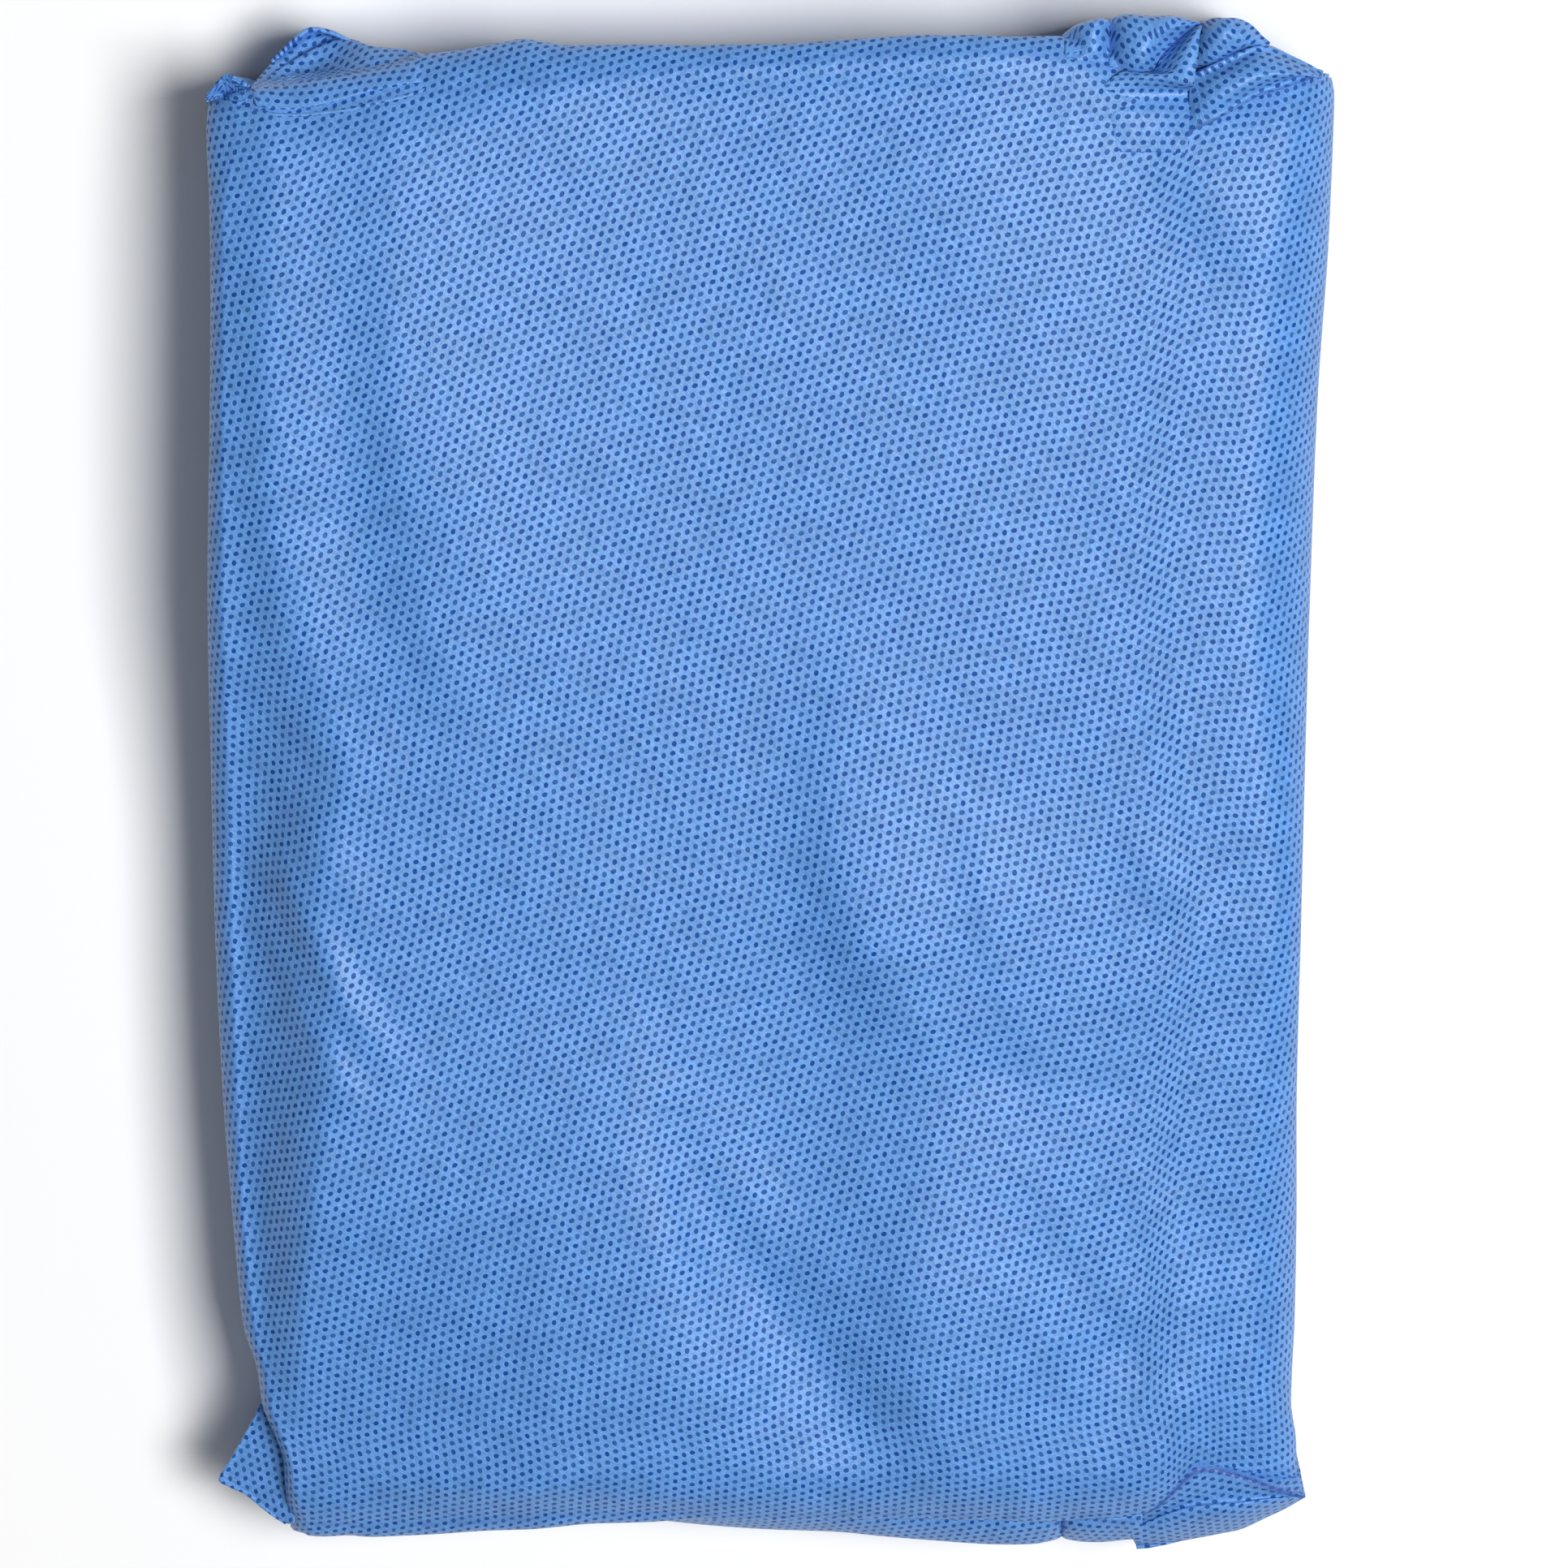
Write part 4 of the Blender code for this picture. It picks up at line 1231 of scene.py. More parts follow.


# The dog-ear and the bottom right fold darken their fold lines strongly: painted shade under the fold edge, over a
# little crease tint.
NETS = (
    Net(
        "top_left_lobe", (0, 1, 1), 12, (0.160, -0.000), (6.8, 1),
        (
            ((-77.8, 107.3, -0.5), (-75.3, 106.7, -0.5), (-72.6, 106.4, -0.5), (-69.3, 106.5, -0.5), (-65.8, 106.9, -0.5), (-62.8, 107.4, -0.5), (-59.4, 108.2, -0.5), (-55.1, 109.1, -0.5), (-51.6, 110.1, -0.5)),
            ((-77.8, 108.1, 0.1), (-75.3, 107.5, 0.1), (-72.6, 107.3, 0.1), (-69.3, 107.4, 0.1), (-65.8, 107.8, 0.1), (-62.8, 108.2, 0.1), (-59.4, 109.0, 0.1), (-55.1, 110.0, 0.1), (-51.6, 111.0, 0.1)),
        ),
        (
            ((-77.9, 108.6, 30.0), (-75.4, 108.1, 29.6), (-72.7, 107.9, 29.2), (-69.4, 108.2, 28.8), (-66.0, 108.9, 28.7), (-62.9, 109.7, 29.0), (-59.4, 110.7, 29.4), (-55.1, 111.5, 30.0), (-51.7, 112.0, 30.2)),
            ((-78.0, 109.4, 28.6), (-75.4, 108.9, 27.7), (-72.8, 108.8, 27.0), (-69.5, 109.3, 26.4), (-66.1, 110.2, 26.2), (-63.0, 111.4, 26.9), (-59.5, 112.5, 27.8), (-55.2, 113.1, 28.6), (-51.7, 113.2, 29.0)),
            ((-78.0, 109.6, 27.2), (-75.6, 109.4, 25.4), (-72.9, 109.7, 24.2), (-69.6, 110.6, 23.2), (-66.2, 111.8, 23.2), (-63.0, 112.9, 24.6), (-59.5, 113.6, 26.2), (-55.2, 113.8, 27.4), (-51.7, 113.6, 28.0)),
            ((-78.1, 109.9, 26.4), (-75.6, 110.1, 24.0), (-73.0, 110.8, 22.2), (-69.7, 112.0, 21.0), (-66.3, 113.4, 20.8), (-63.1, 114.5, 22.4), (-59.6, 114.8, 24.8), (-55.2, 114.5, 26.4), (-51.8, 114.1, 27.2)),
            ((-78.1, 110.0, 25.8), (-75.7, 111.2, 23.0), (-73.0, 112.7, 20.8), (-69.8, 114.5, 19.4), (-66.3, 116.0, 18.8), (-63.2, 116.2, 20.2), (-59.6, 115.7, 23.2), (-55.3, 115.0, 25.4), (-51.8, 114.4, 26.4)),
            ((-78.1, 110.3, 25.2), (-75.7, 111.5, 22.0), (-73.1, 113.0, 19.6), (-69.8, 114.7, 18.0), (-66.4, 116.3, 17.6), (-63.2, 116.5, 19.2), (-59.7, 116.0, 22.4), (-55.3, 115.3, 24.8), (-51.8, 114.7, 25.8)),
            ((-78.2, 110.2, 24.6), (-75.7, 112.0, 21.2), (-73.1, 113.9, 18.8), (-69.9, 116.1, 17.2), (-66.4, 116.7, 17.0), (-63.3, 116.3, 18.6), (-59.7, 115.9, 21.8), (-55.3, 115.5, 24.2), (-51.8, 114.9, 25.2)),
            ((-78.2, 110.1, 23.6), (-75.8, 112.5, 20.0), (-73.2, 114.8, 17.4), (-69.9, 117.4, 15.8), (-66.5, 117.2, 15.8), (-63.3, 116.1, 17.6), (-59.7, 115.8, 20.8), (-55.3, 115.7, 23.2), (-51.9, 115.1, 24.4)),
        ),
    ),
    Net(
        "top_left_ear", (-0.3, 0.6, 1), 30, (0.160, -0.059), (3, 0.8),
        (
            ((-84.4, 107.5, -0.4), (-83.1, 107.6, -0.4), (-81.7, 107.7, -0.4), (-80.1, 107.8, -0.4), (-78.5, 108.1, -0.4)),
            ((-84.5, 108.6, 0.1), (-83.2, 108.8, 0.3), (-81.7, 108.9, 0.5), (-80.1, 108.8, 0.5), (-78.6, 109.0, 0.2)),
        ),
        (
            ((-84.7, 108.6, 28.8), (-83.2, 109.0, 28.6), (-81.7, 109.0, 27.8), (-80.1, 108.9, 27.0), (-78.8, 109.1, 27.2)),
            ((-84.6, 108.9, 28.8), (-82.9, 109.6, 28.0), (-81.5, 109.7, 26.8), (-80.1, 109.5, 25.8), (-78.7, 109.6, 26.4)),
            ((-84.4, 109.3, 29.2), (-82.7, 110.8, 29.2), (-81.4, 111.4, 28.8), (-80.1, 111.0, 28.2), (-78.5, 110.2, 27.6)),
            ((-84.3, 109.5, 29.2), (-82.9, 111.2, 29.8), (-81.6, 112.4, 30.0), (-80.1, 112.0, 29.6), (-78.3, 110.7, 28.4)),
            ((-84.5, 109.3, 28.2), (-83.1, 111.2, 28.8), (-81.7, 112.5, 29.0), (-80.1, 112.0, 28.6), (-78.3, 110.6, 27.4)),
        ),
    ),
    Net(
        "top_right_pleat_1", (0, 1, 1), -50, (0.160, -0.000), (1.2, 0.4),
        (
            ((44.5, 114.8, -0.6), (46.0, 114.6, -0.6), (47.5, 114.5, -0.6), (49.1, 114.3, -0.6), (50.4, 114.1, -0.6), (52.1, 113.5, -0.6)),
            ((44.5, 115.7, -0.2), (46.0, 115.6, 0.0), (47.5, 115.4, 0.2), (49.1, 115.3, 0.2), (50.4, 115.0, 0.0), (52.1, 114.5, -0.2)),
        ),
        (
            ((44.6, 115.9, 28.6), (46.0, 116.4, 29.6), (47.6, 116.7, 31.0), (49.1, 116.8, 31.4), (50.4, 116.6, 30.6), (52.2, 115.6, 27.6)),
            ((44.6, 116.8, 28.0), (46.0, 117.6, 29.0), (47.6, 118.2, 30.8), (49.1, 118.4, 31.4), (50.4, 118.3, 30.4), (52.2, 117.2, 27.0)),
            ((44.6, 117.6, 27.6), (46.0, 118.8, 28.8), (47.6, 119.6, 30.4), (49.1, 120.0, 31.0), (50.4, 120.0, 30.0), (52.2, 118.9, 26.6)),
            ((44.6, 118.2, 26.4), (46.1, 119.7, 27.4), (47.6, 120.5, 28.4), (49.2, 121.0, 28.8), (50.4, 121.1, 28.2), (52.2, 120.2, 25.8)),
        ),
    ),
    Net(
        "top_right_pleat_2", (0, 1, 1), -38, (0.160, -0.000), (1, 0.8),
        (
            ((50.9, 113.3, -0.5), (52.9, 112.8, -0.4), (55.3, 112.2, -0.4), (57.5, 112.0, -0.8), (60.1, 114.5, -2.5), (62.6, 117.0, -2.5), (65.5, 119.5, -2.5)),
        ),
        (
            ((51.1, 114.1, 28.8), (53.0, 113.9, 30.6), (55.4, 113.4, 31.2), (57.7, 113.0, 29.8), (60.0, 115.2, 27.6), (62.5, 117.4, 27.0), (65.6, 119.3, 26.0)),
            ((51.2, 115.8, 28.2), (53.1, 115.7, 31.2), (55.4, 115.3, 32.4), (57.2, 115.1, 32.0), (59.3, 116.7, 29.6), (62.1, 118.6, 28.4), (65.4, 119.6, 26.8)),
            ((51.3, 117.7, 27.8), (53.1, 117.9, 30.8), (55.2, 117.6, 32.2), (56.9, 117.5, 32.4), (59.0, 118.7, 31.2), (61.9, 119.8, 29.8), (65.3, 119.9, 27.2)),
            ((51.4, 119.6, 27.6), (53.1, 120.1, 29.9), (55.1, 120.1, 31.0), (57.2, 120.0, 31.4), (59.8, 120.3, 31.0), (62.5, 120.5, 29.8), (65.4, 120.1, 27.2)),
            ((51.6, 120.7, 26.4), (53.0, 121.4, 27.4), (54.8, 121.7, 28.2), (57.6, 121.5, 28.6), (61.1, 121.5, 28.4), (63.6, 120.8, 27.4), (65.7, 120.2, 26.2)),
        ),
    ),
    Net(
        "top_right_pleat_3", (0, 1, 1), 15, (0.160, -0.000), (1, 0.8),
        (
            ((63.6, 112.7, -2.5), (66.6, 113.2, -2.5), (68.8, 113.9, -2.5), (71.0, 114.9, -2.5), (73.2, 115.8, -2.5), (75.8, 115.9, -2.5)),
        ),
        (
            ((63.8, 113.6, 28.8), (66.7, 114.7, 30.4), (68.7, 115.5, 30.4), (70.7, 116.4, 30.0), (73.1, 117.0, 29.0), (75.6, 116.7, 27.6)),
            ((64.0, 115.7, 29.2), (66.7, 116.9, 31.6), (68.8, 117.6, 32.2), (70.7, 118.1, 31.8), (73.0, 118.0, 30.4), (75.4, 116.9, 28.0)),
            ((64.4, 118.0, 28.6), (66.8, 119.5, 31.4), (68.7, 119.9, 32.4), (70.8, 119.7, 31.8), (73.0, 118.9, 30.2), (75.4, 117.0, 27.8)),
            ((64.9, 119.6, 27.4), (66.9, 120.9, 29.8), (68.7, 121.3, 30.8), (70.6, 121.0, 30.4), (72.9, 119.8, 29.2), (75.6, 117.0, 27.4)),
            ((65.3, 120.0, 26.4), (67.0, 121.1, 27.8), (68.8, 121.2, 28.4), (70.9, 121.1, 28.2), (73.2, 119.9, 27.6), (75.8, 116.9, 26.6)),
        ),
    ),
    Net(
        "top_right_flap", (0, 0, 1), 15.6, (0.000, 0.000), (4, 0.9),
        (
            ((51.4, 101.5, -0.2), (54.3, 101.5, 0.1), (57.3, 101.5, 0.2), (60.2, 101.5, 0.3), (63.3, 101.5, 0.3)),
            ((49.7, 104.3, -0.3), (53.3, 104.3, 0.1), (56.8, 104.3, 0.3), (60.2, 104.3, 0.4), (63.4, 104.3, 0.4)),
            ((49.4, 107.3, -0.3), (53.1, 107.3, 0.1), (56.7, 107.3, 0.3), (60.4, 107.3, 0.5), (63.6, 107.3, 0.5)),
            ((49.6, 110.3, -0.3), (53.3, 110.3, 0.1), (57.0, 110.3, 0.4), (60.6, 110.3, 0.5), (63.9, 110.3, 0.6)),
        ),
        (
            ((53.4, 113.5, 31.6), (56.2, 113.1, 32.6), (58.9, 112.7, 33.2), (61.6, 112.2, 33.6), (64.1, 111.9, 33.8)),
            ((57.9, 113.4, 30.4), (59.7, 113.6, 32.0), (61.2, 113.9, 33.0), (62.8, 114.1, 33.4), (64.4, 114.1, 33.2)),
            ((59.5, 115.6, 28.8), (60.9, 115.9, 30.8), (62.2, 116.2, 32.2), (63.5, 116.4, 32.6), (64.8, 116.4, 32.0)),
            ((61.4, 117.6, 27.8), (62.4, 117.9, 29.8), (63.3, 118.2, 31.2), (64.1, 118.3, 31.6), (65.0, 118.4, 30.8)),
            ((63.6, 119.2, 27.0), (64.1, 119.5, 28.6), (64.6, 119.7, 29.6), (65.1, 119.8, 30.0), (65.4, 119.8, 29.4)),
            ((65.1, 120.0, 26.4), (65.3, 120.1, 27.0), (65.5, 120.1, 27.4), (65.6, 120.1, 27.4), (65.8, 120.1, 27.0)),
        ),
    ),
    Net(
        # Its strong fold line, 4.6, is painted shade under the dog-ear's fold edge.
        "top_right_dog_ear", (0, 0.5, 1), 35, (0.160, 0.037), (1.4, 4.6),
        (
            ((63.1, 104.6, -0.3), (64.5, 105.3, -0.1), (66.0, 106.1, -0.1), (68.2, 107.2, -0.1), (70.7, 108.5, -0.1), (73.8, 110.0, -0.1), (76.7, 110.9, -0.1), (79.7, 111.6, -0.1), (81.6, 112.0, -0.1), (83.3, 112.3, -0.2)),
            ((63.2, 104.1, 0.1), (64.5, 104.9, 0.2), (66.1, 105.6, 0.4), (68.3, 106.7, 0.5), (70.7, 108.1, 0.5), (73.9, 109.6, 0.5), (76.8, 110.4, 0.4), (79.7, 111.2, 0.3), (81.7, 111.6, 0.2), (83.4, 111.9, 0.1)),
            ((63.1, 104.3, 0.2), (64.5, 105.0, 0.5), (66.0, 105.8, 0.9), (68.2, 106.9, 1.3), (70.7, 108.2, 1.4), (73.8, 109.7, 1.3), (76.7, 110.6, 1.1), (79.7, 111.3, 0.9), (81.6, 111.7, 0.6), (83.3, 112.0, 0.2)),
            ((63.1, 105.0, 0.0), (64.4, 105.8, 0.5), (66.0, 106.5, 1.0), (68.2, 107.6, 1.6), (70.6, 109.0, 1.7), (73.8, 110.5, 1.5), (76.7, 111.3, 1.3), (79.6, 112.1, 1.1), (81.6, 112.5, 0.8), (83.3, 112.5, 0.4)),
        ),
        (
            ((63.4, 107.3, 31.4), (64.7, 108.2, 32.5), (66.2, 109.1, 33.3), (68.3, 110.2, 33.8), (70.7, 111.4, 33.7), (73.6, 112.6, 33.2), (76.4, 113.1, 32.7), (79.4, 113.0, 31.9), (81.6, 112.7, 30.6), (83.6, 112.2, 28.8)),
            ((63.5, 109.8, 31.0), (64.8, 110.5, 31.9), (66.4, 111.4, 32.6), (68.5, 112.5, 32.9), (70.8, 113.7, 32.7), (73.6, 114.7, 32.1), (76.2, 114.8, 31.4), (79.1, 114.1, 30.6), (81.5, 113.4, 29.6), (83.7, 112.5, 28.3)),
            ((63.7, 111.8, 30.4), (65.0, 112.4, 30.9), (66.6, 113.2, 30.9), (68.7, 114.2, 30.8), (71.0, 115.3, 30.4), (73.6, 116.2, 29.9), (76.0, 116.0, 29.2), (79.0, 114.9, 28.7), (81.4, 113.9, 28.3), (83.8, 112.7, 27.7)),
            ((63.8, 112.9, 29.2), (65.1, 113.5, 29.6), (66.7, 114.3, 29.4), (68.8, 115.3, 29.2), (71.1, 116.3, 28.8), (73.6, 117.1, 28.2), (76.0, 116.8, 27.2), (78.9, 115.4, 27.0), (81.4, 114.2, 27.0), (83.9, 112.8, 26.8)),
        ),
    ),
    Net(
        "bottom_left_ear", (-0.2, 0, 1), -20, (0.000, 0.000), (0, 0),
        (
        ),
        (
            ((-77.9, -97.0, 23.0), (-76.7, -100.2, 23.0), (-75.6, -103.1, 23.0), (-74.8, -105.5, 23.0), (-74.3, -107.6, 23.0), (-74.1, -109.4, 23.0), (-74.0, -111.0, 23.0), (-73.9, -112.9, 23.0), (-74.0, -114.7, 23.0), (-74.3, -116.8, 23.0)),
            ((-78.3, -97.3, 22.7), (-77.9, -100.4, 22.4), (-77.7, -103.5, 22.2), (-77.7, -106.2, 22.0), (-77.9, -108.5, 21.8), (-77.1, -110.1, 21.9), (-76.4, -111.5, 22.0), (-75.5, -113.5, 22.2), (-75.1, -115.1, 22.4), (-74.7, -116.9, 22.6)),
            ((-78.6, -97.5, 22.4), (-79.2, -100.7, 22.0), (-79.8, -103.9, 21.5), (-80.6, -106.8, 21.1), (-81.4, -109.3, 20.8), (-80.2, -110.8, 20.9), (-78.8, -112.0, 21.1), (-77.2, -114.0, 21.5), (-76.1, -115.5, 21.9), (-75.1, -117.0, 22.2)),
            ((-78.9, -97.6, 22.2), (-80.2, -100.8, 21.6), (-81.7, -104.2, 20.9), (-83.2, -107.4, 20.3), (-84.4, -110.1, 19.9), (-82.8, -111.4, 20.1), (-80.8, -112.5, 20.4), (-78.6, -114.5, 20.9), (-77.0, -115.9, 21.4), (-75.5, -117.0, 22.0)),
            ((-79.1, -97.9, 21.5), (-80.9, -101.1, 20.8), (-82.7, -104.5, 20.0), (-84.6, -107.9, 19.3), (-86.1, -110.7, 18.8), (-84.3, -111.9, 19.0), (-82.0, -112.9, 19.4), (-79.4, -114.9, 20.0), (-77.5, -116.2, 20.6), (-75.7, -117.2, 21.2)),
            ((-78.8, -97.7, 14.0), (-79.8, -100.9, 13.0), (-80.9, -104.2, 12.0), (-82.1, -107.3, 11.5), (-83.2, -109.9, 11.0), (-81.7, -111.3, 11.5), (-80.0, -112.4, 12.0), (-78.0, -114.4, 13.0), (-76.6, -115.8, 14.0), (-75.3, -117.1, 15.0)),
            ((-78.3, -97.3, 5.0), (-77.9, -100.5, 5.0), (-77.7, -103.5, 5.0), (-77.7, -106.2, 5.0), (-77.9, -108.5, 5.0), (-77.2, -110.2, 5.0), (-76.4, -111.6, 5.0), (-75.5, -113.5, 5.0), (-75.1, -115.2, 5.0), (-74.7, -116.9, 5.0)),
            ((-77.4, -97.1, 0.7), (-76.5, -100.3, 0.7), (-75.7, -103.2, 0.7), (-75.2, -105.7, 0.7), (-74.9, -107.9, 0.7), (-74.5, -109.7, 0.7), (-74.2, -111.2, 0.7), (-73.8, -113.1, 0.7), (-73.8, -114.9, 0.7), (-73.9, -116.9, 0.7)),
        ),
    ),
    Net(
        # Its strong fold line, 4.6, is painted shade under the fold's upper edge.
        "bottom_right_fold", (0, -0.5, 1), 40, (-0.120, 0.033), (1, 4.6),
        (
            ((55.1, -113.3, -0.5), (59.3, -111.3, -0.5), (62.6, -108.4, -0.5), (65.6, -105.5, -0.6), (68.9, -104.9, -1.6), (72.4, -105.6, -2.2), (76.0, -106.8, -2.4), (79.5, -108.1, -2.4), (83.4, -109.1, -2.2)),
        ),
        (
            ((55.8, -116.2, 23.6), (60.0, -113.5, 26.0), (63.2, -110.0, 28.0), (66.1, -106.7, 29.4), (68.9, -106.3, 28.6), (72.5, -107.2, 28.2), (76.1, -108.5, 27.8), (79.7, -110.1, 27.0), (83.7, -111.6, 25.0)),
            ((56.1, -117.1, 22.8), (60.3, -114.5, 25.0), (63.4, -112.0, 26.6), (66.6, -109.9, 27.6), (69.7, -109.5, 27.3), (73.1, -109.8, 27.2), (76.7, -110.2, 26.8), (80.1, -110.8, 26.0), (83.8, -111.6, 24.4)),
            ((56.3, -117.9, 22.1), (60.5, -115.4, 24.1), (63.5, -113.6, 25.3), (67.0, -112.4, 25.9), (70.2, -112.0, 26.2), (73.5, -111.8, 26.2), (77.1, -111.6, 25.9), (80.4, -111.6, 25.1), (83.9, -111.8, 23.9)),
            ((56.4, -118.0, 22.7), (60.6, -115.5, 24.7), (63.6, -114.0, 25.9), (67.1, -113.1, 26.5), (70.4, -112.7, 26.8), (73.6, -112.4, 26.8), (77.2, -111.9, 26.5), (80.5, -111.7, 25.7), (83.9, -111.7, 24.5)),
            ((56.8, -118.9, 22.0), (60.6, -117.0, 24.0), (63.7, -115.6, 25.2), (67.2, -114.8, 25.8), (70.5, -114.3, 26.1), (73.8, -113.8, 26.1), (77.3, -113.0, 25.8), (80.7, -112.4, 25.0), (84.0, -112.0, 23.8)),
            ((57.3, -120.2, 20.7), (60.7, -119.2, 22.0), (63.9, -118.3, 22.7), (67.4, -117.5, 23.1), (70.7, -116.9, 23.3), (74.0, -116.3, 23.4), (77.5, -114.9, 23.5), (80.9, -113.5, 23.5), (84.0, -112.1, 23.5)),
            ((57.8, -121.7, 18.4), (60.8, -121.3, 19.2), (64.1, -120.7, 19.4), (67.7, -120.0, 19.6), (71.0, -119.3, 19.8), (74.3, -118.5, 20.0), (77.8, -116.7, 20.4), (81.2, -114.8, 21.0), (84.1, -112.6, 22.0)),
        ),
    ),
    Net(
        "bottom_lower_flap", (0, -0.5, 1), 0, (-0.120, -0.000), (1, 1.2),
        (
        ),
        (
            ((-17.0, -113.1, 25.6), (-9.7, -113.3, 25.6), (-0.4, -113.4, 25.6), (10.4, -113.4, 25.6), (17.6, -113.4, 25.6), (25.8, -113.4, 25.6), (34.4, -113.5, 25.6), (41.0, -113.8, 25.6), (43.8, -114.2, 25.1), (45.2, -114.9, 24.0), (45.9, -115.8, 22.6)),
            ((-17.0, -114.5, 25.4), (-9.7, -114.6, 25.4), (-0.4, -114.8, 25.4), (10.4, -114.8, 25.4), (17.6, -114.8, 25.4), (25.8, -114.8, 25.4), (34.4, -114.8, 25.4), (41.0, -115.2, 25.4), (43.8, -115.6, 24.9), (45.3, -116.3, 23.8), (45.9, -117.1, 22.4)),
            ((-17.0, -115.4, 24.0), (-9.7, -115.9, 24.0), (-0.4, -116.3, 24.0), (10.4, -116.5, 24.0), (17.6, -116.8, 24.0), (25.8, -117.2, 24.0), (34.5, -117.5, 24.0), (41.1, -117.6, 24.0), (43.9, -117.7, 23.6), (45.3, -118.0, 22.6), (46.0, -118.3, 21.4)),
            ((-17.1, -116.9, 20.5), (-9.7, -117.7, 20.5), (-0.4, -118.4, 20.5), (10.4, -118.8, 20.5), (17.6, -119.5, 20.5), (25.9, -120.2, 20.5), (34.6, -120.8, 20.5), (41.2, -120.8, 20.5), (44.0, -120.4, 20.3), (45.4, -120.1, 20.0), (46.0, -119.7, 20.0)),
        ),
    ),
    Net(
        "bottom_lower_pleat", (0, -0.5, 1), 25, (-0.120, -0.000), (1, 1.2),
        (
        ),
        (
            ((45.9, -115.8, 22.6), (46.5, -114.9, 24.0), (47.9, -114.2, 25.2), (49.9, -113.9, 25.6), (52.2, -114.1, 25.4), (54.5, -114.5, 25.0), (56.4, -114.4, 25.0), (58.5, -114.0, 25.2)),
            ((45.9, -117.1, 22.4), (46.5, -116.3, 23.8), (47.9, -115.6, 25.0), (49.9, -115.3, 25.4), (52.2, -115.5, 25.2), (54.5, -115.9, 24.8), (56.4, -115.8, 24.8), (58.5, -115.4, 25.0)),
            ((46.0, -118.3, 21.4), (46.6, -118.0, 22.7), (47.9, -117.6, 23.8), (50.0, -117.5, 24.2), (52.3, -117.7, 23.8), (54.6, -118.0, 23.0), (56.5, -117.8, 23.2), (58.6, -117.5, 23.6)),
            ((46.0, -119.7, 20.0), (46.7, -120.1, 20.0), (48.1, -120.4, 20.0), (50.1, -120.6, 20.0), (52.4, -120.6, 20.0), (54.7, -120.4, 20.0), (56.6, -120.2, 20.0), (58.8, -120.2, 20.0)),
        ),
    ),
)


@dataclass
class CornerSheet:
    """A corner piece of cloth: a smooth surface through the rows of its net."""

    form: PackForm
    net: Net
    row_count: int = 72
    column_count: int = 56
    foot_heights: tuple[float, float, float] = (18.0, 8.0, 0.7)
    cloth_gap: float = 0.42
    hidden: float = -9.0
    no_hold: float = -60.0
    crease_tint_and_shade_width: float = 0.55
    side_sink: float = 0.8
    side_start: float = 0.88

    def rows(self) -> Array:
        """The net's rows, with real heights and with the part below them.

        Returns:
            The rows.
        """
        rows = []
        for laid in self.net.laid:
            x, y, off = np.asarray(laid, float).T
            rows.append(np.stack([x, y, self.form.roof(x, y)[0] + off], axis=-1))
        rows += [np.asarray(free, float) for free in self.net.free]
        last = rows[-1]
        along, across = self.net.lean
        for height in self.foot_heights if any(self.net.lean) else ():
            below = last[:, 2] - height
            rows.append(np.stack([last[:, 0] - across * below, last[:, 1] - along * below, last[:, 2] - below], axis=-1))
        return np.asarray(rows)

    def build(self, material: bpy.types.Material) -> bpy.types.Object:
        """Build the corner piece and hand it over.

        Args:
            material: The cloth's finish.

        Returns:
            The piece.
        """
        rows = self.rows()
        points = smooth_path(rows, self.row_count)
        points = np.swapaxes(smooth_path(np.swapaxes(points, 0, 1), self.column_count), 0, 1)
        if self.net.laid:
            height, there = self.form.roof(points[..., 0], points[..., 1])
            place = np.linspace(0, len(rows) - 1, self.row_count)
            first, last = len(self.net.laid), len(self.net.laid) + len(self.net.free) - 1
            ends = (0, first, last, last + 0.3)
            off = np.interp(place, ends, (self.hidden, self.cloth_gap, self.cloth_gap, self.no_hold))
            side = np.abs(np.linspace(-1.0, 1.0, self.column_count))
            sunk = self.side_sink * ease((side - self.side_start) / (1 - self.side_start))
            held = height + off[:, None] - sunk
            points[..., 2] = np.where(there, np.maximum(points[..., 2], held), points[..., 2])
        # Darken a band along the creased row: partly crease tint, partly painted shade under the fold edge.
        row, amount = self.net.line
        along = np.cumsum(np.linalg.norm(np.diff(points, axis=0), axis=-1), axis=0)
        along = np.concatenate([np.zeros((1, self.column_count)), along])
        at = along[int(round(row / (len(rows) - 1) * (self.row_count - 1)))]
        crease = amount * np.exp(-(((along - at) / self.crease_tint_and_shade_width) ** 2))
        grid = ClothGrid(points, crease, self.net.grain_deg, plan=True)
        item = grid.build(self.net.node + "_cloth", material, self.net.outward)
        hand_over(item, [self.net.node])
        return item


class SoftLight(NamedTuple):
    """One soft square light that faces the pack."""

    name: str
    towards_deg: float
    off_vertical_deg: float
    distance: float
    size: float
    power: float


SOFT_LIGHTS = (
    SoftLight("key_softbox", 14.0, 22.0, 2.6, 1.00, 74.0),
    SoftLight("overhead_softbox", 200.0, 5.0, 2.6, 1.20, 5.0),
)


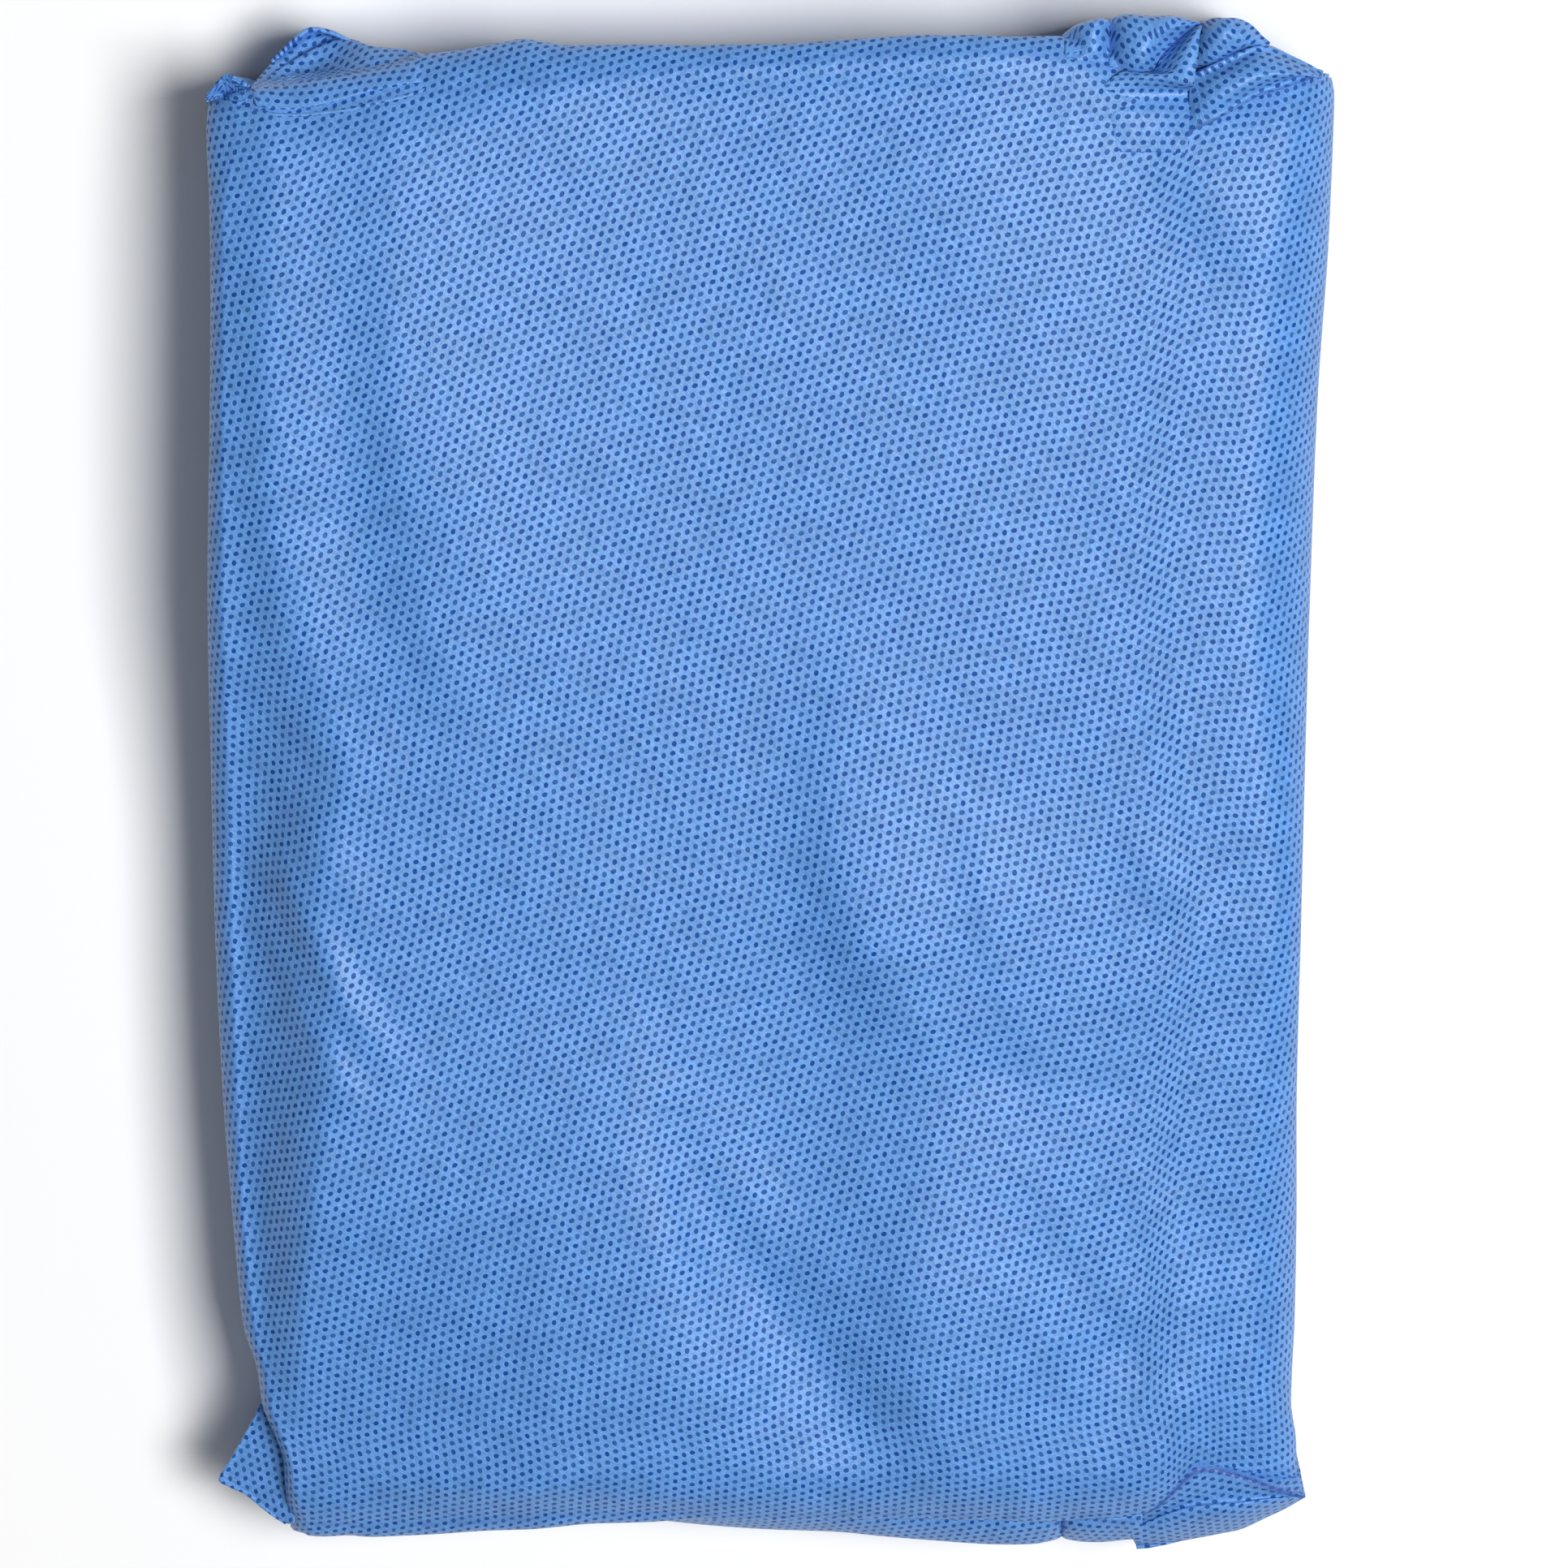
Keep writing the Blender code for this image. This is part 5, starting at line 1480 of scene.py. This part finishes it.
@dataclass
class Studio:
    """The pale floor, the soft lights and the camera."""

    distance_mm: float = 1500.0
    tilt_deg: float = 12.5
    mm_per_pixel: float = 0.124
    photo_pixels: int = 1932
    target: tuple[float, float, float] = (2.5, 4.0, 33.0)
    sensor_mm: float = 36.0
    floor_tone: float = 0.90
    sky: float = 0.09

    def build_floor(self) -> None:
        """Lay the pale floor."""
        bpy.ops.mesh.primitive_plane_add(size=6.0, location=(0.0, 0.0, -0.0006))
        floor = bpy.context.object
        floor.name = "floor"
        material = bpy.data.materials.new("pale_floor")
        material.use_nodes = True
        shader = material.node_tree.nodes["Principled BSDF"]
        shader.inputs["Base Color"].default_value = (self.floor_tone, self.floor_tone, self.floor_tone, 1.0)
        shader.inputs["Roughness"].default_value = 0.95
        shader.inputs["Specular IOR Level"].default_value = 0.2
        floor.data.materials.append(material)

    def build_light(self, light: SoftLight) -> None:
        """Add one soft light that faces the pack.

        Args:
            light: Where it stands, its size and its power.
        """
        data = bpy.data.lights.new(light.name, "AREA")
        data.shape = "SQUARE"
        data.size = light.size
        data.energy = light.power
        item = bpy.data.objects.new(light.name, data)
        off, towards = math.radians(light.off_vertical_deg), math.radians(light.towards_deg)
        at = Vector((math.sin(off) * math.cos(towards), math.sin(off) * math.sin(towards), math.cos(off)))
        item.location = at * light.distance
        item.rotation_euler = (-at).to_track_quat("-Z", "Y").to_euler()
        bpy.context.collection.objects.link(item)

    def build_camera(self) -> None:
        """Place the camera at the photograph's viewing angle."""
        data = bpy.data.cameras.new("camera")
        data.sensor_width = self.sensor_mm
        data.sensor_fit = "HORIZONTAL"
        data.lens = self.sensor_mm * self.distance_mm / (self.photo_pixels * self.mm_per_pixel)
        data.clip_start = 0.05
        data.dof.use_dof = False
        camera = bpy.data.objects.new("camera", data)
        tilt = math.radians(self.tilt_deg)
        away = Vector((0.0, math.sin(tilt), math.cos(tilt))) * self.distance_mm
        camera.location = (Vector(self.target) + away) * MM
        camera.rotation_euler = (-tilt, 0.0, 0.0)
        bpy.context.collection.objects.link(camera)
        bpy.context.scene.camera = camera

    def build(self) -> None:
        """Build the whole studio."""
        self.build_camera()
        self.build_floor()
        for light in SOFT_LIGHTS:
            self.build_light(light)
        world = bpy.data.worlds.new("studio")
        world.use_nodes = True
        background = world.node_tree.nodes["Background"]
        background.inputs["Color"].default_value = (1.0, 1.0, 1.0, 1.0)
        background.inputs["Strength"].default_value = self.sky
        bpy.context.scene.world = world
        bpy.context.scene.view_settings.view_transform = "Standard"


def main() -> None:
    """Build the pack's cloth, its finishes and the studio."""
    logging.basicConfig(level=logging.INFO, format="%(relativeCreated)d ms %(name)s: %(message)s")
    form = PackForm()
    cloth = BondedCloth("gown_cloth").build()
    inner = BondedCloth("folded_cloth", fibre=(0.17, 0.36, 0.74)).build()
    Studio().build()
    OuterWrap(form).build(cloth)
    for net in NETS:
        CornerSheet(form, net).build(cloth)
    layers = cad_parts["folded_layers"]
    layers.data.materials.clear()
    layers.data.materials.append(inner)


if __name__ == "__main__":
    main()
